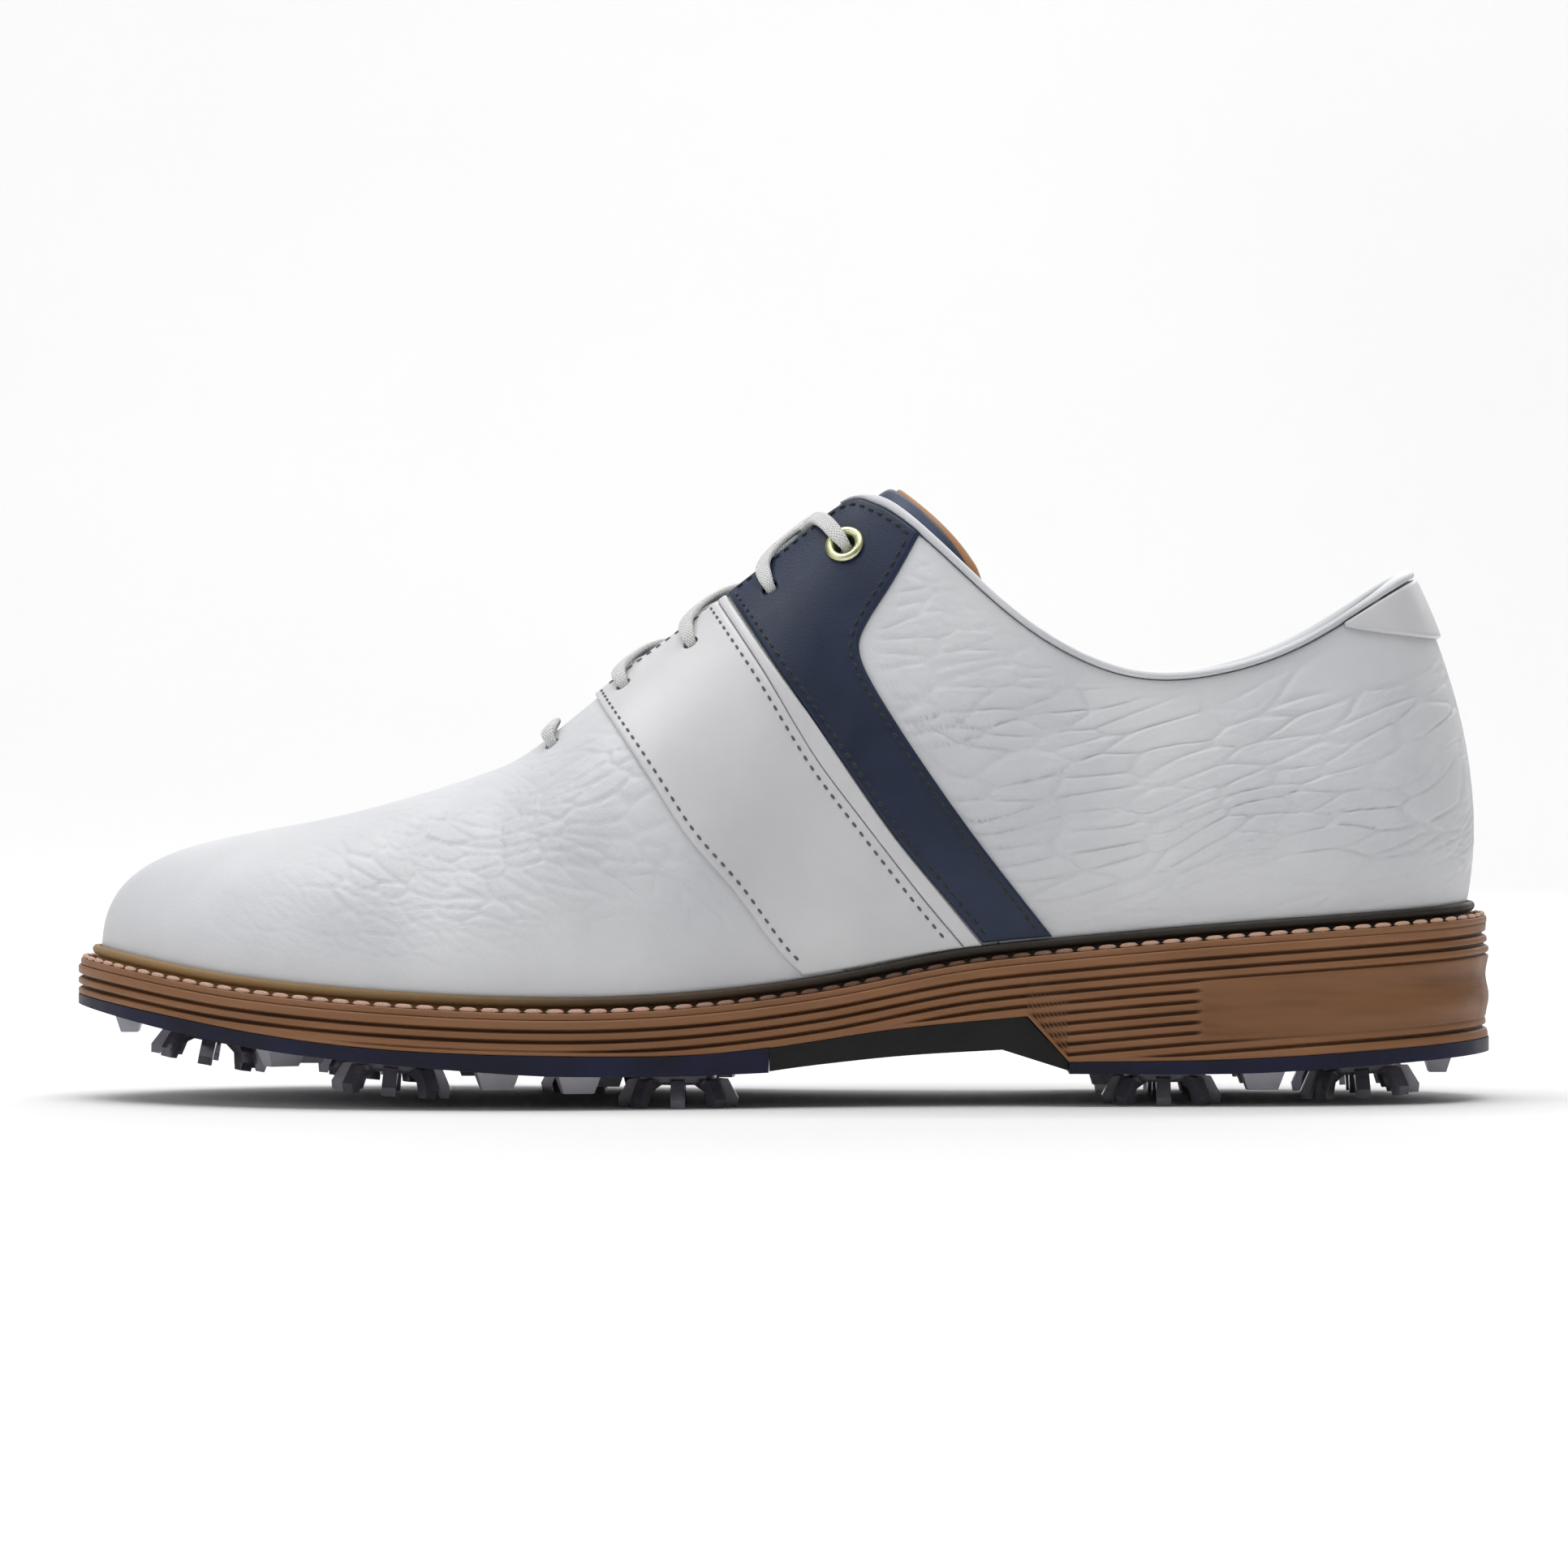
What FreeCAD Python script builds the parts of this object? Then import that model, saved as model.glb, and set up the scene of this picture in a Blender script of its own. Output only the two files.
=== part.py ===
import FreeCAD, Part
import math
import os
from FreeCAD import Placement, Rotation, Vector

# A man's left saddle golf shoe in millimetres. The toe points along -X, the outer (lateral)
# side faces -Y and +Z is up. The origin is on the ground under the middle of the sole.

doc = FreeCAD.newDocument("golf_shoe")

# ---------------------------------------------------------------- driving dimensions

DIMENSIONS = {
    "sole_margin": 5.0,
    "layer_gap": 0.05,
    "lining_gap": 0.15,
    "leather": 1.3,
    "overlay": 1.05,
    "lining": 0.8,
    "upper_drop": 1.1,
    "binding_share": 0.965,
    "collar_pad": 3.4,
    "counter": 1.1,
    "puff": 0.9,
    "bead_width": 1.5,
    "bead_height": 1.7,
    "welt_channel": 3.2,
    "welt_plate": 1.4,
    "board": 2.0,
    "sockliner": 4.0,
    "sole_width": 140.0,
    "heel_breast": 60.0,
    "forefoot_end": -3.0,
    "shank_length": 96.0,
    "shank_width": 14.0,
    "shank_steel": 1.0,
    "cleat_reach": 7.0,
    "cleat_hub": 8.0,
    "cleat_post": 3.5,
    "cleat_post_height": 4.5,
    "cleat_leg": 3.0,
    "cleat_legs": 8,
    "key_reach": 5.0,
    "receptacle": 7.5,
    "receptacle_height": 6.0,
    "lug_reach": 4.0,
    "eyelet_hole": 1.8,
    "top_eyelet_hole": 2.3,
    "top_eyelet_flange": 4.0,
    "tongue_skin": 1.2,
    "tongue_foam": 3.6,
    "tongue_lining": 0.9,
    "lace": 2.4,
    "aglet": 2.8,
    "aglet_length": 14.0,
}

sheet = doc.addObject("Spreadsheet::Sheet", "dims")
for number, (alias, value) in enumerate(DIMENSIONS.items(), start=1):
    sheet.set("A%d" % number, alias)
    sheet.set("B%d" % number, str(value))
    sheet.setAlias("B%d" % number, alias)
doc.recompute()


def dim(alias):
    return float(sheet.get(alias))


SOLE_MARGIN = dim("sole_margin")
GAP = dim("layer_gap")
LEATHER = dim("leather")
OVERLAY = dim("overlay")
LINING = dim("lining")

# ---------------------------------------------------------------- profiles along the shoe


class Profile:
    """A smooth line through (position, height) points, straight beyond its ends."""

    def __init__(self, points):
        self.at = [point[0] for point in points]
        self.value = [point[1] for point in points]
        last = len(points) - 1
        self.slope = []
        for i in range(last + 1):
            left = max(i - 1, 0)
            right = min(i + 1, last)
            self.slope.append((self.value[right] - self.value[left]) / (self.at[right] - self.at[left]))

    def __call__(self, position):
        if position <= self.at[0]:
            return self.value[0] + self.slope[0] * (position - self.at[0])
        if position >= self.at[-1]:
            return self.value[-1] + self.slope[-1] * (position - self.at[-1])
        i = 0
        while self.at[i + 1] < position:
            i += 1
        span = self.at[i + 1] - self.at[i]
        t = (position - self.at[i]) / span
        h00 = 2 * t ** 3 - 3 * t ** 2 + 1
        h10 = t ** 3 - 2 * t ** 2 + t
        h01 = 3 * t ** 2 - 2 * t ** 3
        h11 = t ** 3 - t ** 2
        start = h00 * self.value[i] + h10 * span * self.slope[i]
        return start + h01 * self.value[i + 1] + h11 * span * self.slope[i + 1]


# Height of the line where the upper meets the storm welt, from toe to heel.
feather = Profile([(-145.8, 32.5), (-115.4, 27.6), (-80.7, 24.6), (-46.0, 23.4), (-20.0, 24.3),
                   (7.0, 27.4), (37.0, 33.0), (57.0, 35.3), (94.0, 38.5), (145.0, 42.0)])
# Underside of the midsole in front of the heel, and under the heel block.
midsole_under = Profile([(-150.6, 22.4), (-132.8, 19.4), (-106.7, 15.1), (-80.7, 12.5),
                         (-46.0, 11.3), (-20.0, 11.3), (-2.6, 12.8), (23.4, 16.5), (51.2, 19.1)])
heel_under = Profile([(60.0, 9.4), (96.0, 10.0), (151.0, 13.4)])
# Tread face of the forefoot and of the heel, and the underside of the waist between them.
tread = Profile([(-150.6, 20.3), (-126.0, 15.2), (-106.7, 12.0), (-80.7, 9.4), (-52.0, 7.3),
                 (-40.0, 7.0), (-20.0, 7.0), (-2.0, 7.6)])
heel_tread = Profile([(58.0, 7.0), (96.0, 7.0), (122.0, 8.4), (151.0, 10.4)])
waist_under = Profile([(-4.0, 7.6), (6.0, 8.9), (25.0, 10.8), (46.0, 12.0)])

# ---------------------------------------------------------------- the upper's surface

# One row per station from the middle of the heel (0) round the side to the middle of the toe
# (16): the feather line's x, its lateral and medial y; the top edge's x, half width and height;
# how far the section rises and bulges as it leaves the feather line, and how far it falls and
# spreads below the top edge.
STATIONS = [
    (146.0, 0.0, 0.0, 133.3, 0.0, 112.6, 22.0, 5.0, 24.0, 12.0),
    (136.6, -22.6, 22.0, 126.6, 16.1, 108.6, 22.0, 4.5, 23.0, 10.0),
    (114.0, -32.0, 32.0, 110.5, 23.5, 98.6, 20.0, 4.0, 20.0, 6.5),
    (92.0, -34.0, 33.0, 92.0, 28.5, 92.2, 19.0, 4.5, 19.0, 4.5),
    (70.0, -34.8, 32.0, 72.0, 31.0, 92.0, 19.0, 5.0, 20.0, 4.5),
    (48.0, -35.2, 30.3, 52.0, 31.0, 101.8, 22.0, 5.5, 23.0, 5.5),
    (30.0, -36.3, 29.5, 36.0, 27.0, 116.0, 28.0, 6.0, 26.0, 9.0),
    (14.0, -38.3, 30.5, 24.0, 20.5, 126.3, 31.0, 6.0, 24.0, 14.0),
    (-2.0, -41.0, 33.0, 14.0, 14.5, 127.0, 32.0, 4.0, 18.0, 17.0),
    (-18.0, -44.5, 36.5, -1.0, 12.6, 115.5, 30.0, 5.0, 14.0, 21.0),
    (-36.0, -48.0, 40.8, -18.0, 11.3, 102.3, 27.0, 4.0, 11.0, 22.0),
    (-56.0, -50.3, 44.5, -36.0, 10.0, 88.6, 24.0, 3.0, 9.0, 23.5),
    (-78.0, -49.0, 46.5, -50.0, 8.5, 77.3, 18.0, 2.0, 9.0, 20.0),
    (-100.0, -43.5, 44.5, -56.5, 6.3, 72.6, 21.0, 1.5, 8.0, 30.0),
    (-120.0, -33.5, 37.5, -59.0, 4.2, 71.2, 22.0, 1.0, 10.0, 34.0),
    (-136.0, -19.5, 25.0, -60.0, 2.0, 70.7, 27.0, 0.5, 14.0, 38.0),
    (-146.0, 3.0, 3.0, -60.3, 0.0, 70.5, 31.5, 0.5, 18.5, 40.0),
]
TOE = len(STATIONS) - 1
LOOP = 2 * TOE
LATERAL = "lateral"
MEDIAL = "medial"
SIDES = (LATERAL, MEDIAL)


def station_rows(y_shift):
    rows = []
    for fx, lateral_y, medial_y, tx, half, tz, rise, bulge, fall, spread in STATIONS:
        fz = feather(fx) - dim("upper_drop")
        rows.append((fx, lateral_y + y_shift, fz, tx, y_shift - half, tz, rise, bulge, fall, spread))
    for fx, lateral_y, medial_y, tx, half, tz, rise, bulge, fall, spread in STATIONS[-2:0:-1]:
        fz = feather(fx) - dim("upper_drop")
        rows.append((fx, medial_y + y_shift, fz, tx, y_shift + half, tz, rise, bulge, fall, spread))
    return rows


def loop_controls(values):
    """Control values of the closed cubic B-spline that passes through the given values."""
    controls = list(values)
    for sweep in range(40):
        for i in range(len(values)):
            neighbours = controls[i - 1] + controls[(i + 1) % len(values)]
            controls[i] = (6 * values[i] - neighbours) / 4
    return controls


def loop_value(controls, u):
    i = math.floor(u)
    t = u - i
    c0, c1, c2, c3 = (controls[(i + k) % len(controls)] for k in (-1, 0, 1, 2))
    weight1 = 3 * t ** 3 - 6 * t ** 2 + 4
    weight2 = -3 * t ** 3 + 3 * t ** 2 + 3 * t + 1
    return ((1 - t) ** 3 * c0 + weight1 * c1 + weight2 * c2 + t ** 3 * c3) / 6


def make_columns(y_shift):
    return [loop_controls(column) for column in zip(*station_rows(y_shift))]


columns = make_columns(0.0)
outline_y = [loop_value(columns[1], k * 0.05) for k in range(LOOP * 20)]
columns = make_columns(-(min(outline_y) + max(outline_y)) / 2)


def plan_normal(x_column, y_column, u):
    """Outward direction, seen from above, of a closed line at station u."""
    step = 0.02
    dx = loop_value(x_column, u + step) - loop_value(x_column, u - step)
    dy = loop_value(y_column, u + step) - loop_value(y_column, u - step)
    return Vector(-dy, dx, 0).normalize()


def section(u):
    """The four Bezier points of the upper's section at station u."""
    fx, fy, fz, tx, ty, tz, rise, bulge, fall, spread = (loop_value(c, u) for c in columns)
    foot = Vector(fx, fy, fz)
    top = Vector(tx, ty, tz)
    foot_handle = foot + plan_normal(columns[0], columns[1], u) * bulge + Vector(0, 0, rise)
    top_handle = top + plan_normal(columns[3], columns[4], u) * spread - Vector(0, 0, fall)
    return foot, foot_handle, top_handle, top


def bezier(points, t):
    a, b, c, d = points
    s = 1 - t
    return a * s ** 3 + b * (3 * s * s * t) + c * (3 * s * t * t) + d * t ** 3


def skin(u, v, offset=0.0):
    """A point of the upper: v runs from the feather line (0) to the top edge (1)."""
    here = section(u)
    point = bezier(here, v)
    if offset == 0.0:
        return point
    return point + skin_normal(u, v) * offset


def skin_normal(u, v):
    step_u = 0.02
    step_v = 0.004
    low = max(v - step_v, 0.0)
    high = min(v + step_v, 1.0)
    here = section(u)
    along_v = bezier(here, high) - bezier(here, low)
    along_u = bezier(section(u + step_u), v) - bezier(section(u - step_u), v)
    return along_v.cross(along_u).normalize()


def on_side(side, u):
    """Stations count up the lateral side; the same place on the medial side is LOOP - u."""
    return u if side == LATERAL else LOOP - u


def smooth(value, start, end):
    t = min(max((value - start) / (end - start), 0.0), 1.0)
    return t * t * (3 - 2 * t)


def heel_distance(u):
    u = u % LOOP
    return min(u, LOOP - u)


def top_share(u):
    """Where the panels stop: below the collar binding, but at the very edge of the throat."""
    share = dim("binding_share")
    return share + (1 - share) * smooth(heel_distance(u), 7.9, 8.3)


def panel_skin(u, t, offset=0.0):
    return skin(u, t * top_share(u), offset)


# ---------------------------------------------------------------- seams, drawn in side view

saddle_front = Profile([(28.1, 3.5), (33.3, -1.4), (45.5, -10.4), (56.8, -20.0), (69.8, -28.6),
                        (85.0, -39.0), (95.0, -46.0)])
saddle_rear = Profile([(34.2, 37.3), (44.6, 28.6), (60.2, 16.5), (74.1, 6.1), (91.5, -4.3),
                       (106.2, -13.9)])
band_front = Profile([(33.7, 42.5), (42.0, 35.6), (56.8, 23.4), (74.1, 11.3), (91.5, -0.9),
                      (107.1, -11.3)])
band_rear = Profile([(35.9, 56.4), (44.6, 49.5), (55.9, 40.8), (68.0, 32.1), (81.1, 23.4),
                     (91.5, 17.4), (96.7, 16.0), (101.0, 17.4), (110.6, 23.4), (122.0, 29.8)])


def seam_station(side, seam, t):
    """Station where a panel row crosses a seam, by halving, counted from the heel."""
    low = 3.0
    high = 14.5
    for step in range(40):
        middle = (low + high) / 2
        point = panel_skin(on_side(side, middle), t)
        if point.x > seam(point.z):
            low = middle
        else:
            high = middle
    return (low + high) / 2


def seam_line(side, seam, shift=0.0):
    """The station of a seam at each panel row, moved towards the toe by some stations."""
    known = {}

    def station(t):
        if t not in known:
            known[t] = on_side(side, seam_station(side, seam, t) + shift)
        return known[t]

    return station


def at_station(u):
    return lambda t: u


# ---------------------------------------------------------------- solids from the surface

def grid_face(points):
    surface = Part.BSplineSurface()
    surface.interpolate(points)
    return surface.toShape(), surface


def sheet_solid(outer, inner):
    """A closed solid between two grids of points, with ruled sides."""
    outer_face, outer_surface = grid_face(outer)
    inner_face, inner_surface = grid_face(inner)
    faces = [outer_face, inner_face]
    u0, u1, v0, v1 = outer_surface.bounds()
    a0, a1, b0, b1 = inner_surface.bounds()
    pairs = [(outer_surface.uIso(u0), inner_surface.uIso(a0)),
             (outer_surface.uIso(u1), inner_surface.uIso(a1)),
             (outer_surface.vIso(v0), inner_surface.vIso(b0)),
             (outer_surface.vIso(v1), inner_surface.vIso(b1))]
    for first, second in pairs:
        faces.extend(ruled_faces(first, second))
    return closed_solid(faces)


def ruled_faces(first, second):
    wires = [Part.Wire(first.toShape()), Part.Wire(second.toShape())]
    return Part.makeLoft(wires, False, True).Faces


def closed_solid(faces):
    shell = Part.Shell(faces)
    shell.sewShape()
    solid = Part.Solid(Part.Shell(shell.Faces))
    if solid.Volume < 0:
        solid.reverse()
    return solid


def panel(start, end, out, into, rows=16, cols=12, bottom=0.0, top=1.0):
    """A leather panel between two station lines, each given as a function of the row."""
    outer = []
    inner = []
    for j in range(rows + 1):
        t = bottom + (top - bottom) * j / rows
        first = start(t)
        last = end(t)
        outer_row = []
        inner_row = []
        for i in range(cols + 1):
            u = first + (last - first) * i / cols
            v = t * top_share(u)
            outer_row.append(skin(u, v, out(u, v)))
            inner_row.append(skin(u, v, into(u, v)))
        outer.append(outer_row)
        inner.append(inner_row)
    return sheet_solid(outer, inner)


def strip(first, last, low, high, out, into, rows=6, cols=40):
    """A band of the upper whose lower and upper shares of the height are functions of u."""
    outer = []
    inner = []
    for j in range(rows + 1):
        outer_row = []
        inner_row = []
        for i in range(cols + 1):
            u = first + (last - first) * i / cols
            v = low(u) + (high(u) - low(u)) * j / rows
            outer_row.append(skin(u, v, out(u, v)))
            inner_row.append(skin(u, v, into(u, v)))
        outer.append(outer_row)
        inner.append(inner_row)
    return sheet_solid(outer, inner)


def feature(label, shape):
    made = doc.addObject("Part::Feature", label)
    made.Label = label
    made.Shape = shape
    sub_parts[label] = made
    return made


sub_parts = {}

# How far the lining stands off the leather: over the toe puff, the heel counter and the collar pad.


def puff_depth(u, v):
    reach = abs(u % LOOP - TOE)
    return dim("puff") * (1 - smooth(reach, 2.9, 3.5)) * (1 - smooth(v, 0.62, 0.72))


def counter_depth(u, v):
    return dim("counter") * (1 - smooth(heel_distance(u), 3.4, 4.4)) * (1 - smooth(v, 0.42, 0.50))


def collar_depth(u, v):
    along = 1 - smooth(heel_distance(u), 6.2, 7.2)
    return dim("collar_pad") * along * smooth(v, 0.50, 0.70) * (1 - 0.3 * smooth(v, 0.85, 0.97))


def lining_out(u, v):
    stand_off = dim("lining_gap") + puff_depth(u, v) + counter_depth(u, v) + collar_depth(u, v)
    return -(LEATHER + stand_off)


def lining_in(u, v):
    return lining_out(u, v) - LINING


def over_out(u, v):
    return OVERLAY + GAP


def over_in(u, v):
    return GAP


def base_out(u, v):
    return 0.0


def base_in(u, v):
    return -LEATHER


# ---------------------------------------------------------------- lace holes

# Side-view places of the upper four holes of a facing; the lowest hole is on the flat of the
# vamp, where its place is a station and a share of the height.
EYELET_PLACES = [(-33.3, 87.8), (-19.1, 96.7), (-2.3, 108.3), (13.4, 117.5)]
LOWEST_EYELET = (11.8, 0.905)
TOP_EYELET = len(EYELET_PLACES)


def find_station(side, x, z):
    """The station and height share of the surface point seen at (x, z) from the side."""
    u = on_side(side, 9.0)
    v = 0.8
    step = 0.001
    for turn in range(30):
        here = skin(u, v)
        du = (skin(u + step, v) - here) / step
        dv = (skin(u, v + step) - here) / step
        det = du.x * dv.z - dv.x * du.z
        miss_x = x - here.x
        miss_z = z - here.z
        u += max(-0.5, min(0.5, (miss_x * dv.z - dv.x * miss_z) / det))
        v += max(-0.05, min(0.05, (du.x * miss_z - miss_x * du.z) / det))
        v = min(v, 0.97)
    return u, v


def facing_eyelets(side):
    holes = [(on_side(side, LOWEST_EYELET[0]), LOWEST_EYELET[1])]
    for x, z in EYELET_PLACES:
        holes.append(find_station(side, x, z))
    return holes


EYELETS = {side: facing_eyelets(side) for side in SIDES}


def eyelet_point(side, number, offset):
    u, v = EYELETS[side][number]
    return skin(u, v, offset)


def drilled(shape, side, numbers):
    for number in numbers:
        u, v = EYELETS[side][number]
        radius = dim("eyelet_hole")
        if number == TOP_EYELET:
            radius = dim("top_eyelet_hole") + 0.35
        drill = Part.makeCylinder(radius, 9.0, skin(u, v, -6.0), skin_normal(u, v))
        shape = shape.cut(drill)
    return shape.Solids[0]


# ---------------------------------------------------------------- the upper's panels

OVER_START = 0.03
BASE_LAP = 0.55
SEAM_GAP = 0.01
LINING_SEAM = 9.3
BINDING_END = 7.9


def make_side_panels(side):
    front = seam_line(side, saddle_front)
    rear = seam_line(side, saddle_rear)
    saddle = panel(rear, front, over_out, over_in, bottom=OVER_START)
    feature("saddle_" + side, drilled(saddle, side, (1, 2)))
    strip_front = seam_line(side, saddle_rear, -0.02)
    strip_rear = seam_line(side, band_front, 0.02)
    white = panel(strip_rear, strip_front, over_out, over_in, cols=4, bottom=OVER_START)
    feature("saddle_strip_" + side, white)
    navy_front = seam_line(side, band_front)
    navy_rear = seam_line(side, band_rear)
    navy = panel(navy_rear, navy_front, over_out, over_in, rows=24, bottom=OVER_START)
    feature("eyestay_band_" + side, drilled(navy, side, (3, 4)))
    backing_front = seam_line(side, saddle_front, -BASE_LAP - SEAM_GAP)
    backing_rear = seam_line(side, band_rear, BASE_LAP + SEAM_GAP)
    backing = panel(backing_rear, backing_front, base_out, base_in, rows=20)
    feature("saddle_backing_" + side, drilled(backing, side, (1, 2, 3, 4)))
    quarter_front = seam_line(side, band_rear, BASE_LAP)
    back_seam = at_station(on_side(side, SEAM_GAP))
    quarter = panel(back_seam, quarter_front, base_out, base_in, rows=20, cols=24)
    feature("quarter_" + side, quarter)
    lining_front = at_station(on_side(side, LINING_SEAM))
    lining = panel(back_seam, lining_front, lining_out, lining_in, rows=26, cols=34)
    feature("quarter_lining_" + side, drilled(lining, side, (3, 4)))


def make_front_panels():
    lateral_edge = seam_line(LATERAL, saddle_front, -BASE_LAP)
    medial_edge = seam_line(MEDIAL, saddle_front, -BASE_LAP)
    vamp = panel(lateral_edge, medial_edge, base_out, base_in, rows=20, cols=48)
    for side in SIDES:
        vamp = drilled(vamp, side, (0, 1))
    feature("vamp", vamp)
    lateral_start = at_station(LINING_SEAM + SEAM_GAP)
    medial_end = at_station(LOOP - LINING_SEAM - SEAM_GAP)
    lining = panel(lateral_start, medial_end, lining_out, lining_in, rows=30, cols=56)
    for side in SIDES:
        lining = drilled(lining, side, (0, 1, 2))
    feature("vamp_lining", lining)

    def puff_out(u, v):
        return -(LEATHER + GAP)

    def puff_in(u, v):
        return -(LEATHER + GAP + 0.92 * puff_depth(u, v))

    feature("toe_puff", strip(TOE - 3.1, TOE + 3.1, at_height(0.02), at_height(0.66),
                              puff_out, puff_in, rows=16, cols=28))


def at_height(v):
    return lambda u: v


def make_back_panels():
    def under_leather(u, v):
        return -(LEATHER + GAP)

    def counter_in(u, v):
        return -(LEATHER + GAP + 0.92 * counter_depth(u, v))

    def foam_in(u, v):
        return -(LEATHER + GAP + 0.95 * collar_depth(u, v))

    feature("heel_counter", strip(-3.6, 3.6, at_height(0.02), at_height(0.44),
                                  under_leather, counter_in, rows=12, cols=28))
    for side in SIDES:
        first = on_side(side, 0.02)
        last = on_side(side, 6.9)
        foam = strip(first, last, at_height(0.57), at_height(0.955),
                     under_leather, foam_in, rows=12, cols=28)
        feature("collar_foam_" + side, foam)

    def binding_out(u, v):
        return OVERLAY

    def binding_in(u, v):
        return lining_in(u, v)

    low = at_height(dim("binding_share") + 0.004)
    feature("collar_binding", strip(-BINDING_END, BINDING_END, low, at_height(1.0),
                                    binding_out, binding_in, rows=3, cols=64))

    def tab_edge(u):
        return 0.80 + 0.14 * (abs(u) / 1.55) ** 1.5

    feature("heel_tab", strip(-1.55, 1.55, tab_edge, at_height(dim("binding_share") - 0.003),
                              over_out, over_in, rows=6, cols=20))


for side in SIDES:
    make_side_panels(side)
make_front_panels()
make_back_panels()

# ---------------------------------------------------------------- the sole

OUTLINE_STEPS = 64
SPAN = 160.0


def outline_point(u, margin):
    foot = Vector(loop_value(columns[0], u), loop_value(columns[1], u), 0)
    return foot + plan_normal(columns[0], columns[1], u) * margin


def outline_curve(margin):
    points = [outline_point(LOOP * k / OUTLINE_STEPS, margin) for k in range(OUTLINE_STEPS)]
    curve = Part.BSplineCurve()
    curve.interpolate(Points=points, PeriodicFlag=True)
    return curve


def profile_curve(profile, rise, first, last):
    steps = max(2, round(abs(last - first) / 8.0))
    points = []
    for k in range(steps + 1):
        x = first + (last - first) * k / steps
        points.append(Vector(x, profile(x) + rise, 0))
    curve = Part.BSplineCurve()
    curve.interpolate(points)
    return curve


def plane_of(body, role):
    for origin_feature in body.Origin.OriginFeatures:
        if origin_feature.Role == role:
            return origin_feature


def new_body(label):
    body = doc.addObject("PartDesign::Body", label)
    body.Label = label
    sub_parts[label] = body
    return body


def new_sketch(body, name, role):
    sketch = body.newObject("Sketcher::SketchObject", name)
    sketch.AttachmentSupport = [(plane_of(body, role), "")]
    sketch.MapMode = "FlatFace"
    return sketch


def add_polygon(sketch, corners):
    for k, corner in enumerate(corners):
        start = Vector(corner[0], corner[1], 0)
        end = Vector(*corners[(k + 1) % len(corners)], 0)
        sketch.addGeometry(Part.LineSegment(start, end))


def add_band(sketch, top_curves, bottom_curves):
    """A closed side-view band from curves that run from the toe end to the heel end."""
    for curve in top_curves + bottom_curves:
        sketch.addGeometry(curve)
    left = (bottom_curves[0].value(bottom_curves[0].FirstParameter),
            top_curves[0].value(top_curves[0].FirstParameter))
    right = (bottom_curves[-1].value(bottom_curves[-1].LastParameter),
             top_curves[-1].value(top_curves[-1].LastParameter))
    sketch.addGeometry(Part.LineSegment(*left))
    sketch.addGeometry(Part.LineSegment(*right))


def line(start, end):
    return Part.LineSegment(Vector(*start, 0), Vector(*end, 0))


def sole_layer(label, top_curves, bottom_curves, margin):
    """A layer of the sole: its side view made solid, then cut to its outline."""
    body = new_body(label)
    side_view = new_sketch(body, label + "_side_view", "XZ_Plane")
    add_band(side_view, top_curves, bottom_curves)
    pad = body.newObject("PartDesign::Pad", label + "_block")
    pad.Profile = side_view
    pad.SideType = "Symmetric"
    pad.setExpression("Length", "dims.sole_width")
    outline = new_sketch(body, label + "_outline", "XY_Plane")
    reach = SPAN + 20.0
    add_polygon(outline, [(-reach, -reach), (reach, -reach), (reach, reach), (-reach, reach)])
    outline.addGeometry(outline_curve(margin))
    trim = body.newObject("PartDesign::Pocket", label + "_trim")
    trim.Profile = outline
    trim.Type = "ThroughAll"
    trim.SideType = "Symmetric"
    return body


PLATE_TOP = -dim("welt_channel")
PLATE_BOTTOM = PLATE_TOP - dim("welt_plate")
INNER_MARGIN = -4.0
BREAST_TOP = (51.2, midsole_under(51.2))
HEEL_FRONT = dim("heel_breast")
FOREFOOT_END = dim("forefoot_end")


def whole(profile, rise):
    return profile_curve(profile, rise, -SPAN, SPAN)


def ring(label, section_points):
    """A ring round the shoe: each corner of its section is a margin outside the feather line
    and a height above it."""
    rails = []
    for margin, height in section_points:
        points = []
        for k in range(OUTLINE_STEPS):
            point = outline_point(LOOP * k / OUTLINE_STEPS, margin)
            points.append(Vector(point.x, point.y, feather(point.x) + height))
        curve = Part.BSplineCurve()
        curve.interpolate(Points=points, PeriodicFlag=True)
        rails.append(curve)
    faces = []
    for k, rail in enumerate(rails):
        faces.extend(ruled_faces(rails[k - 1], rail))
    return feature(label, closed_solid(faces))


def make_welt():
    bead_in = 0.45
    bead_out = bead_in + dim("bead_width")
    wall_out = bead_in + 0.3
    bead_low = -dim("bead_height")
    wall_top = -dim("upper_drop") - GAP
    ring("welt", [(INNER_MARGIN, PLATE_BOTTOM), (SOLE_MARGIN - 0.5, PLATE_BOTTOM),
                  (SOLE_MARGIN - 0.5, PLATE_TOP), (wall_out, PLATE_TOP), (wall_out, bead_low),
                  (bead_out, bead_low), (bead_out, -0.35), (bead_out - 0.4, 0.0), (bead_in, 0.0),
                  (bead_in, wall_top), (INNER_MARGIN, wall_top)])
    thread_low = PLATE_TOP + GAP
    ring("welt_stitching", [(2.9, thread_low), (3.9, thread_low),
                            (3.9, thread_low + 0.8), (2.9, thread_low + 0.8)])


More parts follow.
